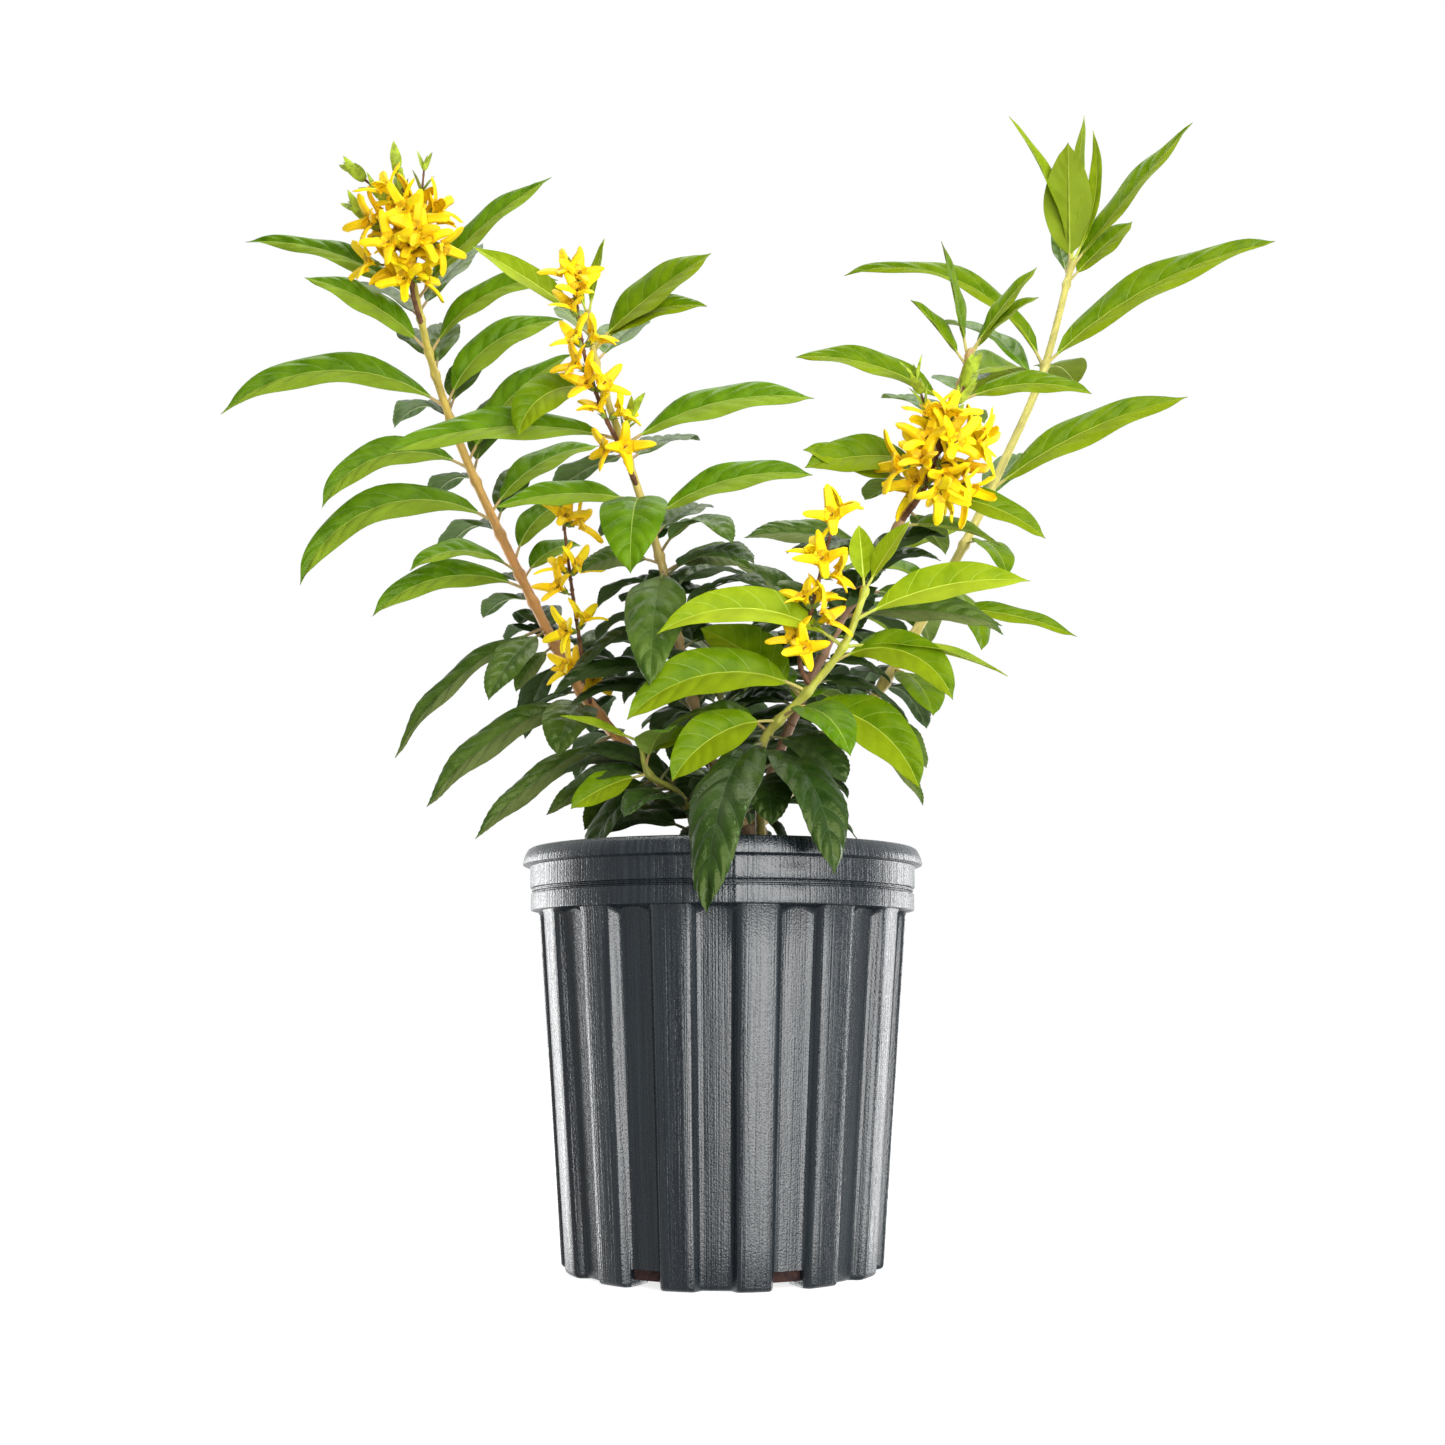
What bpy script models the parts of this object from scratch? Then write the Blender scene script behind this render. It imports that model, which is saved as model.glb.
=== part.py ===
"""Potted lynwood gold forsythia: a young shrub in flower, in a ribbed nursery pot.

X runs to the right, Y away from the front and Z up. The origin is the middle of
the pot's flat underside. Sizes are written in millimetres and turned into metres.
"""
import math
import random

import bpy
import bmesh
from mathutils import Vector
from mathutils.bvhtree import BVHTree
from mathutils.geometry import intersect_point_line

MM = 0.001
CLEAR = 0.3             # gap kept between two solids that touch
TEST_MARGIN = 0.45      # how much fatter a leaf is while it is tested for room

# Pot: a full-size one-gallon can
POT_HEIGHT = 200.0
LIP_RADIUS_TOP = 95.0
LIP_RADIUS_SKIRT = 98.8
LIP_SKIRT_HEIGHT = 192.3
UPPER_BAND_RADIUS = 95.0
LOWER_BAND_RADIUS = 94.6
BAND_TOP = 191.0
GROOVE_HEIGHT = 179.5
GROOVE_DEPTH = 1.3
GROOVE_WIDTH = 1.6
BAND_BOTTOM = 169.6
RIB_RADIUS_TOP = 90.5
RIB_RADIUS_BOTTOM = 77.3
RIB_DEPTH = 5.0
RIB_COUNT = 14
RIB_PHASE = 10.6        # degrees from the front to the middle of the first rib
RIB_HALF_CREST = 5.4    # degrees
RIB_HALF_FOOT = 7.5     # degrees
WALL = 1.8
LIP_WALL = 2.6
FLOOR = 2.6
FOOT_CHAMFER = 2.0
DRAIN_COUNT = 7
DRAIN_WIDTH = 15.0
DRAIN_RISE = 8.0
DRAIN_REACH = 15.0

# Potting mix and the woody foot of the shrub
MIX_TOP = 183.7
MIX_EDGE_TOP = 180.5
FOOT_SOIL = (9.0, 0.0)
FOOT_TOP = (13.0, -3.0)
FOOT_PROFILE = ((0.0, 15.0), (4.0, 12.2), (11.0, 10.2), (20.0, 10.0), (28.0, 9.5))  # rise, radius
FOOT_SIDES = 14
MIX_FLAT_RADIUS = 29.0
MIX_SIDES = 28

# Canes: the route of each, its radius at the foot and at the tip, and the height
# where the bare bough ends and the leafy mass begins (none for a low shoot)
CANES = {
    "left": dict(
        route=[(8, 0, 212.3), (4, 2, 219), (-11, 8, 227), (-38, 19, 243), (-72, 32, 283),
               (-96, 42, 326), (-138, 56, 413), (-162, 65, 476), (-177, 71, 535)],
        radius=(3.2, 1.9), bough_top=229),
    "centre": dict(
        route=[(10, -8.5, 212.3), (-4, -14, 240), (-18, -18, 285), (-29, -24, 336),
               (-44, -40, 382), (-61, -51, 431), (-66, -55, 460)],
        radius=(2.8, 1.5), bough_top=252),
    "right": dict(
        route=[(18, -7, 212.3), (27, -6, 245), (54, -12, 305), (91, -24, 366), (111, -31, 407),
               (124, -37, 447)],
        radius=(2.8, 1.6), bough_top=262),
    "far": dict(
        route=[(17, 2.5, 212.3), (45, 25, 244), (83, 42, 288), (129, 70, 366), (156, 82, 420),
               (184, 92, 482), (205, 101, 553)],
        radius=(3.2, 1.9), bough_top=256),
    "low_right": dict(
        route=[(20, -23, 184), (18, -36, 215), (19, -50, 247), (39, -60, 269), (57, -68, 291),
               (67, -74, 317)],
        radius=(2.7, 1.5), bough_top=None),
    "low_left": dict(
        route=[(-10, -17, 184), (-18, -34, 221), (-35, -44, 233), (-39, -48, 249)],
        radius=(2.0, 1.2), bough_top=None),
    "low_back": dict(
        route=[(4, 18, 184), (6, 44, 230), (0, 72, 282), (-5, 90, 322)],
        radius=(2.6, 1.4), bough_top=None),
}

BOUGH_ERROR = 0.1       # how far a bough's and a stem's facets may lie off the true curve
STEM_ERROR = 0.6
BOUGH_SIDES = 10
STEM_SIDES = 7
TWIG_SIDES = 5

# Leaves that show from the front, each grown from its cane:
# height on the cane, turn (0 right, 90 away, 180 left), rise at the stem, droop to
# the tip, length with its stalk, face (how far its upper side turns to the front), width
LEAVES = {
    "left": [
        (516, -10, 55, 28, 104, 65, 20), (514, 170, 45, 44, 118, 60, 17),
        (484, 195, 48, 40, 80, 65, 22), (482, -10, 66, 76, 90, 65, 20),
        (450, 190, 37, 84, 133, 68, 22), (450, 10, 76, 70, 91, 65, 22),
        (413, 195, 31, 100, 95, 65, 20), (417, 15, 70, 40, 91, 50, 22),
        (382, 190, 33, 108, 127, 68, 22), (387, 30, 62, 50, 84, 50, 20),
        (343, 195, 25, 76, 90, 65, 19), (352, 215, 34, 80, 70, 55, 17),
        (358, 40, 80, 65, 60, 50, 18), (348, 40, 65, 60, 48, 50, 16),
        (322, 190, -22, 42, 108, 45, 17), (320, 235, -24, 40, 64, 45, 20),
        (312, 215, -35, 30, 36, 45, 12), (282, 195, -15, 42, 103, 55, 20),
        (262, 205, -25, 25, 94, 50, 15), (249, 205, -25, 15, 58, 45, 14),
        (238, 215, -15, 35, 54, 60, 22), (276, 250, 10, 90, 58, 50, 26),
    ],
    "centre": [
        (454, 185, 38, 10, 69, 60, 16), (456, 200, 70, 10, 37, 50, 9),
        (457, 350, 82, 5, 41, 50, 9), (442, -10, 44, 14, 74, 60, 26),
        (440, -10, 50, 62, 63, 60, 18), (420, 205, 18, 100, 59, 60, 22),
        (395, -5, 36, 46, 99, 60, 21), (398, 190, 13, 40, 118, 60, 22),
        (360, -5, 40, 50, 87, 60, 19), (369, 185, 14, 35, 73, 60, 17),
        (367, 265, 10, 110, 74, 0, 30), (344, -50, 50, 110, 66, 30, 20),
        (336, -20, 33, 70, 48, 50, 20), (340, 200, 20, 60, 44, 50, 18),
        (336, 266, -16, 66, 94, 0, 27),
    ],
    "right": [
        (442, 200, 80, 5, 62, 50, 18), (444, -10, 58, 12, 56, 50, 11),
        (441, -15, 60, 40, 48, 50, 15), (439, 195, 55, 15, 43, 50, 18),
        (418, 185, 40, 46, 85, 60, 19), (420, -5, 28, 50, 70, 60, 16),
        (391, 190, 12, 34, 66, 60, 25), (380, 190, 22, 15, 62, 55, 23),
        (375, -5, 3, 46, 70, 60, 17), (346, 190, 25, 40, 71, 60, 18),
        (320, 175, 30, 60, 76, 40, 15), (328, 10, 6, 40, 80, 50, 20),
        (430, 40, 45, 70, 68, 40, 30), (360, 20, 15, 40, 60, 40, 20),
        (316, -8, 10, 30, 80, 50, 22), (300, 178, 62, 34, 66, 40, 28),
    ],
    "far": [
        (546, 270, 85, 0, 78, 0, 27), (551, 190, 84, 32, 98, 50, 14),
        (551, 30, 84, 4, 98, 0, 12), (551, -10, 60, -40, 86, 50, 10),
        (548, -10, 52, 5, 112, 50, 19), (538, 10, 50, 10, 60, 50, 19),
        (486, -5, 45, 34, 153, 60, 25), (484, 175, 72, 88, 143, 50, 20),
        (408, -5, 39, 28, 124, 60, 23), (375, -60, 10, 90, 49, 0, 20),
        (279, -15, -35, 25, 46, 50, 18), (300, -60, -10, 60, 48, 0, 26),
        (335, 0, 5, 30, 83, 50, 14), (352, -40, -30, 60, 49, 0, 26),
        (482, 60, 40, 60, 64, 0, 28), (480, 130, 30, 60, 64, 0, 26),
        (385, 200, 0, 40, 50, 40, 22), (264, -30, -15, 55, 62, 40, 12),
    ],
    "low_right": [
        (290, 190, 40, 76, 95, 60, 22), (270, 195, 27, 76, 95, 65, 26),
        (257, 205, 0, 60, 66, 60, 24), (263, -20, 5, 78, 79, 60, 26),
        (282, -20, 34, 106, 71, 60, 22), (302, -5, 31, 38, 85, 60, 22),
        (290, -10, 6, 36, 79, 20, 14), (315, -10, 62, 10, 40, 50, 14),
        (315, 100, 78, 5, 36, 50, 12), (268, 165, 45, 20, 62, 60, 28),
        (247, 250, -8, 80, 122, 0, 28), (243, 297, 0, 85, 101, 0, 27),
        (250, -30, -5, 50, 50, 30, 24),
    ],
    "low_left": [
        (248, 190, 22, 10, 40, 30, 10), (233, 195, -10, 30, 42, 55, 17),
        (243, -20, 25, 20, 28, 50, 16),
    ],
    "low_back": [],
}

# Leaves behind the ones in front, on the same nodes: the lowest node that has them, and
# what share of the others' turn, droop, face and length they have, how much lower they stand
BEHIND = {"left": 330, "centre": 356, "right": 350, "far": 370}
BEHIND_TURN = 0.28
BEHIND_DROOP = 0.55
BEHIND_FACE = 0.3
BEHIND_LENGTH = 0.84
BEHIND_DROP = 7.0
BEHIND_SHORTEST = 66.0

# Leaves that fill the dense foot of the shrub: first and last height on the cane, how
# many, the turns they keep between, length at the bottom and the top, and width
FILL = {
    "left": (256, 306, 4, 70, 130, 84, 78, 21),
    "centre": (258, 352, 20, -20, 220, 78, 60, 22),
    "right": (268, 344, 10, 20, 190, 76, 62, 21),
    "far": (266, 346, 7, 60, 170, 80, 66, 21),
    "low_right": (234, 270, 5, 20, 200, 66, 58, 22),
    "low_left": (206, 240, 6, 150, 380, 66, 50, 20),
    "low_back": (206, 318, 18, -10, 200, 88, 64, 22),
}
FILL_RISE = (34, 50)    # at the bottom and at the top
FILL_DROOP = (84, 70)
FILL_FACE = 30

# A leaf with no room is moved and turned a little, this often and at most this far
LEAF_TRIES = 14
TRY_HEIGHT = 5.0
TRY_TURN = 30.0
TRY_RISE = 18.0
TRY_SHORTER = 0.8

# Shape of a leaf
STALK = 11.0
FOLD = 22.0             # degrees each half is folded up from the midrib
LEAF_THICKNESS = 0.014  # of the leaf's length
STALK_RADIUS = 0.95
LONG_LEAF = 78.0
LONG_BLADE = (0.14, 0.36, 0.62, 0.85)   # where the rings of a long and a short blade lie
SHORT_BLADE = (0.2, 0.5, 0.8)
ARCH_STEPS = 48

# Blossom twigs: cane, height where the twig leaves it, its route after that, radius at
# both ends, how many rings of blossom and blossoms in a ring, from what share of its
# length, and how far to each side of the front the blossoms are spread
TWIGS = [
    dict(cane="centre", start=376,
         route=[(-50, -56, 392), (-56, -61, 403), (-61, -65, 416), (-67, -69, 436), (-71, -74, 466)],
         radius=(1.3, 0.7), rings=5, around=2, first=0.18, spread=64),
    dict(cane="left", start=279,
         route=[(-70, 6, 288), (-73, -4, 311), (-77, -8, 338), (-80, -12, 363)],
         radius=(1.3, 0.7), rings=4, around=2, first=0.24, spread=64),
    dict(cane="low_right", start=272,
         route=[(36, -66, 283), (40, -69, 300), (46, -72, 325), (52, -76, 348)],
         radius=(1.3, 0.7), rings=4, around=2, first=0.36, spread=64),
    dict(cane="left", start=500,
         route=[(-173, 60, 515), (-175, 53, 535), (-175, 50, 558)],
         radius=(1.5, 0.9), rings=4, around=4, first=0.46, spread=112),
    dict(cane="right", start=362,
         route=[(98, -34, 373), (103, -41, 384), (107, -47, 396)],
         radius=(1.5, 0.9), rings=3, around=4, first=0.44, spread=112),
]
PETAL_LENGTH = 15.0
PETAL_WIDTH = 5.4
PETAL_COUNT = 4
PETAL_BELLY = (0.55, 0.27)  # out and up, as shares of the petal's length
PETAL_TIP = (0.92, 0.40)
THROAT_RADIUS = 1.6
THROAT_DEPTH = 1.4
CALYX_LENGTH = 8.0
BLOSSOM_TRIES = 40
BLOSSOM_LIFT = (6.0, 40.0)      # at the bottom and at the top of a twig, in degrees
BLOSSOM_STAGGER = 14.0
BLOSSOM_LEAN = 30.0
BLOSSOM_SIZE = (0.86, 1.08)

# Bud shoots over the left blossom: start, tip and radius of each
BUD_SHOOTS = [
    ((-175, 50, 556), (-205, 47, 583)), ((-175, 50, 556), (-182, 50, 586)),
    ((-175, 53, 534), (-202, 48, 560)), ((-173, 59, 520), (-167, 50, 586)),
]
BUD_RADIUS = 1.0
BUD_LENGTH = 13.0
BUD_WIDTH = 6.0
BUD_PAST_TIP = 0.6      # share of the bud that stands past its shoot


def clear_scene():
    for item in list(bpy.data.objects):
        bpy.data.objects.remove(item, do_unlink=True)


def material(name, colour, roughness, metallic=0.0):
    finish = bpy.data.materials.new(name)
    finish.use_nodes = True
    shader = finish.node_tree.nodes["Principled BSDF"]
    shader.inputs["Base Color"].default_value = (*colour, 1.0)
    shader.inputs["Roughness"].default_value = roughness
    shader.inputs["Metallic"].default_value = metallic
    return finish


def mesh_object(name, points, faces, finish=None):
    """One object from points in millimetres."""
    mesh = bpy.data.meshes.new(name)
    mesh.from_pydata([tuple(c * MM for c in point) for point in points], [], faces)
    mesh.validate()
    thing = bpy.data.objects.new(name, mesh)
    bpy.context.scene.collection.objects.link(thing)
    if finish is not None:
        mesh.materials.append(finish)
    return thing


def loft(rings, start_point=None, end_point=None):
    """Points and faces of a closed skin through rings of equal size."""
    size = len(rings[0])
    points = [point for ring in rings for point in ring]
    faces = []
    for row in range(len(rings) - 1):
        low, high = row * size, (row + 1) * size
        for i in range(size):
            j = (i + 1) % size
            faces.append((low + i, low + j, high + j, high + i))
    if start_point is None:
        faces.append(tuple(reversed(range(size))))
    else:
        points.append(start_point)
        faces += [(len(points) - 1, (i + 1) % size, i) for i in range(size)]
    top = (len(rings) - 1) * size
    if end_point is None:
        faces.append(tuple(range(top, top + size)))
    else:
        points.append(end_point)
        faces += [(len(points) - 1, top + i, top + (i + 1) % size) for i in range(size)]
    return points, faces


def circle(centre, radius, count, height):
    turn = 2.0 * math.pi / count
    return [(centre[0] + radius * math.cos(turn * i), centre[1] + radius * math.sin(turn * i), height)
            for i in range(count)]


def pot_angles():
    """Angles of one ring of the pot: the two foot corners and two crest corners of each rib."""
    angles = []
    for rib in range(RIB_COUNT):
        middle = -90.0 + RIB_PHASE + rib * 360.0 / RIB_COUNT
        for offset in (-RIB_HALF_FOOT, -RIB_HALF_CREST, RIB_HALF_CREST, RIB_HALF_FOOT):
            angles.append((math.radians(middle + offset), abs(offset) == RIB_HALF_CREST))
    return angles


def pot_ring(radius, height, rib=0.0):
    """A ring of the pot. Where rib is given, the crests stand out by it."""
    ring = []
    for angle, crest in pot_angles():
        reach = radius + (rib if crest else 0.0)
        ring.append((reach * math.cos(angle), reach * math.sin(angle), height))
    return ring


def rib_radius(height):
    share = height / BAND_BOTTOM
    return RIB_RADIUS_BOTTOM + (RIB_RADIUS_TOP - RIB_RADIUS_BOTTOM) * share


def make_pot(finish):
    recess_bottom = rib_radius(0.0) - RIB_DEPTH
    recess_top = rib_radius(BAND_BOTTOM) - RIB_DEPTH
    half_groove = GROOVE_WIDTH / 2.0
    inner_top = LIP_RADIUS_TOP - LIP_WALL
    inner_bottom = recess_bottom - WALL
    inner_shoulder = recess_top - WALL
    rings = [
        pot_ring(recess_bottom - FOOT_CHAMFER, 0.0, RIB_DEPTH),
        pot_ring(recess_bottom, FOOT_CHAMFER, RIB_DEPTH),
        pot_ring(recess_top, BAND_BOTTOM - CLEAR, RIB_DEPTH),
        pot_ring(LOWER_BAND_RADIUS, BAND_BOTTOM),
        pot_ring(LOWER_BAND_RADIUS, GROOVE_HEIGHT - half_groove),
        pot_ring(LOWER_BAND_RADIUS - GROOVE_DEPTH, GROOVE_HEIGHT),
        pot_ring(UPPER_BAND_RADIUS, GROOVE_HEIGHT + half_groove),
        pot_ring(UPPER_BAND_RADIUS, BAND_TOP),
        pot_ring(LIP_RADIUS_SKIRT, LIP_SKIRT_HEIGHT),
        pot_ring(LIP_RADIUS_TOP, POT_HEIGHT),
        pot_ring(inner_top, POT_HEIGHT),
        pot_ring(inner_shoulder, BAND_BOTTOM - WALL),
        pot_ring(inner_bottom, FLOOR),
    ]
    points, faces = loft(rings, start_point=(0.0, 0.0, 0.0), end_point=(0.0, 0.0, FLOOR))
    pot = mesh_object("pot", points, faces, finish)
    cut_drains(pot, inner_bottom)
    pot.data.shade_smooth()
    pot.data.set_sharp_from_angle(angle=math.radians(28.0))
    return pot


def cut_drains(pot, inner_bottom):
    """Slots through the corner of wall and floor, one in every other recess."""
    points, faces = [], []
    for slot in range(DRAIN_COUNT):
        angle = math.radians(-90.0 + RIB_PHASE + (slot + 0.25) * 720.0 / RIB_COUNT)
        out = Vector((math.cos(angle), math.sin(angle), 0.0))
        side = Vector((-math.sin(angle), math.cos(angle), 0.0))
        first = len(points)
        for height in (-DRAIN_RISE, DRAIN_RISE):
            for along, across in ((-1, -1), (1, -1), (1, 1), (-1, 1)):
                reach = inner_bottom - DRAIN_REACH / 3.0 + DRAIN_REACH * along
                corner = out * reach + side * across * DRAIN_WIDTH / 2.0
                points.append((corner.x, corner.y, height))
        a, b, c, d, e, f, g, h = range(first, first + 8)
        faces += [(d, c, b, a), (e, f, g, h), (a, b, f, e), (b, c, g, f), (c, d, h, g), (d, a, e, h)]
    cutter = mesh_object("drain_cutter", points, faces)
    cut = pot.modifiers.new("drains", "BOOLEAN")
    cut.operation = "DIFFERENCE"
    cut.object = cutter
    apply_modifiers(pot)
    bpy.data.objects.remove(cutter, do_unlink=True)


def apply_modifiers(thing):
    """Put the mesh that the modifiers give in place of the one they start from."""
    bpy.context.view_layer.update()
    graph = bpy.context.evaluated_depsgraph_get()
    result = bpy.data.meshes.new_from_object(thing.evaluated_get(graph))
    thing.modifiers.clear()
    thing.data = result


def make_potting_mix(finish):
    """The mix that fills the pot, a little lower at the wall than at the shrub."""
    inner_bottom = rib_radius(0.0) - RIB_DEPTH - WALL
    shoulder = BAND_BOTTOM - WALL
    inner_shoulder = rib_radius(BAND_BOTTOM) - RIB_DEPTH - WALL
    inner_top = LIP_RADIUS_TOP - LIP_WALL
    edge_share = (MIX_EDGE_TOP - shoulder) / (POT_HEIGHT - shoulder)
    inner_edge = inner_shoulder + (inner_top - inner_shoulder) * edge_share
    gap = 2.0 * CLEAR
    rings = [
        circle((0, 0), inner_bottom - gap, MIX_SIDES, FLOOR + CLEAR),
        circle((0, 0), inner_shoulder - gap, MIX_SIDES, shoulder),
        circle((0, 0), inner_edge - gap, MIX_SIDES, MIX_EDGE_TOP),
        circle((0, 0), MIX_FLAT_RADIUS, MIX_SIDES, MIX_TOP),
    ]
    points, faces = loft(rings)
    return mesh_object("potting_mix", points, faces, finish)


def make_woody_foot(finish):
    """The short stump the canes spring from, flared where it meets the mix."""
    rings = []
    for rise, radius in FOOT_PROFILE:
        share = rise / FOOT_PROFILE[-1][0]
        centre = [FOOT_SOIL[k] + (FOOT_TOP[k] - FOOT_SOIL[k]) * share for k in (0, 1)]
        rings.append(circle(centre, radius, FOOT_SIDES, MIX_TOP + CLEAR + rise))
    points, faces = loft(rings)
    foot = mesh_object("woody_foot", points, faces, finish)
    foot.data.shade_smooth()
    foot.data.set_sharp_from_angle(angle=math.radians(50.0))
    return foot


def smooth_route(route, per_span=8):
    """A smooth curve through the route's points."""
    knots = [Vector(point) for point in route]
    knots = [knots[0] * 2 - knots[1]] + knots + [knots[-1] * 2 - knots[-2]]
    line = []
    for i in range(1, len(knots) - 2):
        before, here, there, after = knots[i - 1:i + 3]
        for step in range(per_span):
            t = step / per_span
            line.append(0.5 * (2 * here + (there - before) * t
                               + (2 * before - 5 * here + 4 * there - after) * t * t
                               + (3 * here - before - 3 * there + after) * t ** 3))
    line.append(knots[-2])
    return line


def point_at_height(line, height):
    for low, high in zip(line[:-1], line[1:]):
        if low.z <= height <= high.z:
            return low.lerp(high, (height - low.z) / (high.z - low.z))
    return line[-1].copy() if height > line[-1].z else line[0].copy()


def part_of_line(line, low, high):
    """The stretch of a rising line between two heights."""
    middle = [point for point in line if low + 1.0 < point.z < high - 1.0]
    return [point_at_height(line, low)] + middle + [point_at_height(line, high)]


def thin_line(line, error):
    """The few points of a line that stay within the error of all the others."""
    far, place = error, None
    for i in range(1, len(line) - 1):
        foot, share = intersect_point_line(line[i], line[0], line[-1])
        if (line[i] - foot).length > far:
            far, place = (line[i] - foot).length, i
    if place is None:
        return [line[0], line[-1]]
    return thin_line(line[:place + 1], error)[:-1] + thin_line(line[place:], error)


def tube(line, radii, sides, flat_start=False):
    """Points and faces of a limb along a line; its first ring can be cut level."""
    rings = []
    side = None
    for i, point in enumerate(line):
        along = (line[min(i + 1, len(line) - 1)] - line[max(i - 1, 0)]).normalized()
        if side is None:
            side = along.cross(Vector((0, 1, 0))).normalized()
        side = (side - along * side.dot(along)).normalized()
        other = along.cross(side)
        ring = []
        for k in range(sides):
            angle = 2.0 * math.pi * k / sides
            offset = (side * math.cos(angle) + other * math.sin(angle)) * radii[i]
            if flat_start and i == 0:
                offset.z = 0.0
            ring.append(tuple(point + offset))
        rings.append(ring)
    return loft(rings)


def cane_radius(cane, line, height):
    low, high = line[0].z, line[-1].z
    share = min(max((height - low) / (high - low), 0.0), 1.0)
    return cane["radius"][0] + (cane["radius"][1] - cane["radius"][0]) * share


def make_bough(name, cane, line, finish):
    """The bare lower part of a cane, from the woody foot to its first leaves."""
    stretch = thin_line(part_of_line(line, line[0].z, cane["bough_top"]), BOUGH_ERROR)
    radii = [cane_radius(cane, line, point.z) for point in stretch]
    points, faces = tube(stretch, radii, BOUGH_SIDES, flat_start=True)
    bough = mesh_object(name + "_bough", points, faces, finish)
    bough.data.shade_smooth()
    bough.data.set_sharp_from_angle(angle=math.radians(50.0))
    return bough


def make_stem(name, cane, line):
    """The stem of a mass. It starts just clear of its bough's tip, or of the mix."""
    if cane["bough_top"] is None:
        start = line[0].z + CLEAR
    else:
        low = point_at_height(line, cane["bough_top"])
        ahead = point_at_height(line, cane["bough_top"] + 2.0)
        start = cane["bough_top"] + (ahead - low).normalized().z * CLEAR * 1.2
    stretch = thin_line(part_of_line(line, start, line[-1].z), STEM_ERROR)
    radii = [cane_radius(cane, line, point.z) for point in stretch]
    points, faces = tube(stretch, radii, STEM_SIDES, flat_start=cane["bough_top"] is None)
    return points, faces


def leaf_arch(base, turn, rise, droop, length, steps):
    """Midrib of a leaf: it leaves at the rise and bends down evenly to its tip."""
    heading = math.radians(turn)
    points, ways = [Vector(base)], []
    for k in range(steps):
        lift = math.radians(rise - droop * (k + 0.5) / steps)
        way = Vector((math.cos(lift) * math.cos(heading), math.cos(lift) * math.sin(heading), math.sin(lift)))
        points.append(points[-1] + way * length / steps)
    for k in range(steps + 1):
        lift = math.radians(rise - droop * k / steps)
        ways.append(Vector((math.cos(lift) * math.cos(heading), math.cos(lift) * math.sin(heading), math.sin(lift))))
    return points, ways


def leaf_half_width(share):
    """Half width of the blade as a share of the widest, along the blade from 0 to 1."""
    return math.sin(math.pi * share ** 0.8) ** 1.15


def leaf_sides(way, turn, face):
    """Sideways and upward directions of a leaf that turns its upper side to the front."""
    heading = math.radians(turn)
    level = Vector((math.sin(heading), -math.cos(heading), 0.0))
    upright = level.cross(way).normalized()
    roll = math.radians(-face * math.cos(heading))
    side = level * math.cos(roll) + upright * math.sin(roll)
    up = upright * math.cos(roll) - level * math.sin(roll)
    return side, up


def leaf_solid(base, row, margin=0.0):
    """A leaf on its stalk as one folded, tapering solid. The margin fattens it for tests."""
    turn, rise, droop, length, face, width = row[1:]
    points, ways = leaf_arch(base, turn, rise, droop, length, ARCH_STEPS)
    blade_shares = LONG_BLADE if length > LONG_LEAF else SHORT_BLADE
    stations = [(0.0, 0.0), (STALK, 0.0)] + [(STALK + (length - STALK) * s, s) for s in blade_shares]
    fold = math.radians(FOLD)
    half_thick = length * LEAF_THICKNESS / 2.0
    rings = []
    for distance, share in stations:
        k = round(distance / length * ARCH_STEPS)
        side, up = leaf_sides(ways[k], turn, face)
        if share == 0.0:
            half, thick, lift = STALK_RADIUS, STALK_RADIUS, 0.0
        else:
            half, thick, lift = width / 2.0 * leaf_half_width(share), half_thick, fold
        half, thick = half + margin, thick + margin
        out = side * half * math.cos(lift)
        raised = up * half * math.sin(lift)
        centre = points[k]
        rings.append([tuple(centre + out + raised), tuple(centre - up * thick),
                      tuple(centre - out + raised), tuple(centre + up * thick)])
    tip = points[-1] + ways[-1] * margin
    return loft(rings, end_point=tuple(tip))


def spindle(start, end, radius):
    """A slim solid with two points, widest at its belly: a leafy bud."""
    axis = (end - start).normalized()
    side = axis.orthogonal().normalized()
    other = axis.cross(side)
    middle = start.lerp(end, 0.5)
    ring = [tuple(middle + way * radius) for way in (side, other, -side, -other)]
    return loft([ring], start_point=tuple(start), end_point=tuple(end))


def blossom_solid(root, axis, spin, size, calyx=True):
    """A four-petalled star on its calyx. The calyx ends in a point inside the twig."""
    centre = root + axis * CALYX_LENGTH
    side = axis.orthogonal().normalized()
    other = axis.cross(side)
    length = PETAL_LENGTH * size
    points = [centre, root - axis * 0.5 if calyx else centre - axis * 2.0 * THROAT_DEPTH]
    faces = []
    each = 5
    for k in range(PETAL_COUNT):
        angle = spin + 2.0 * math.pi * k / PETAL_COUNT
        out = side * math.cos(angle) + other * math.sin(angle)
        across = axis.cross(out)
        notch = (out - across).normalized() * THROAT_RADIUS
        belly = centre + (out * PETAL_BELLY[0] + axis * PETAL_BELLY[1]) * length
        end = centre + (out * PETAL_TIP[0] + axis * PETAL_TIP[1]) * length
        points += [centre + notch, belly - across * PETAL_WIDTH / 2, end, belly + across * PETAL_WIDTH / 2,
                   centre + out * THROAT_RADIUS - axis * THROAT_DEPTH]
        valley, left, tip, right, under = range(2 + each * k, 2 + each * (k + 1))
        next_valley = 2 + each * ((k + 1) % PETAL_COUNT)
        next_under = next_valley + each - 1
        faces += [(0, valley, left), (0, left, tip), (0, tip, right), (0, right, next_valley),
                  (left, valley, under), (tip, left, under), (right, tip, under),
                  (next_valley, right, under), (next_valley, under, next_under),
                  (under, 1, next_under)]
    return [tuple(point) for point in points], faces


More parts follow.
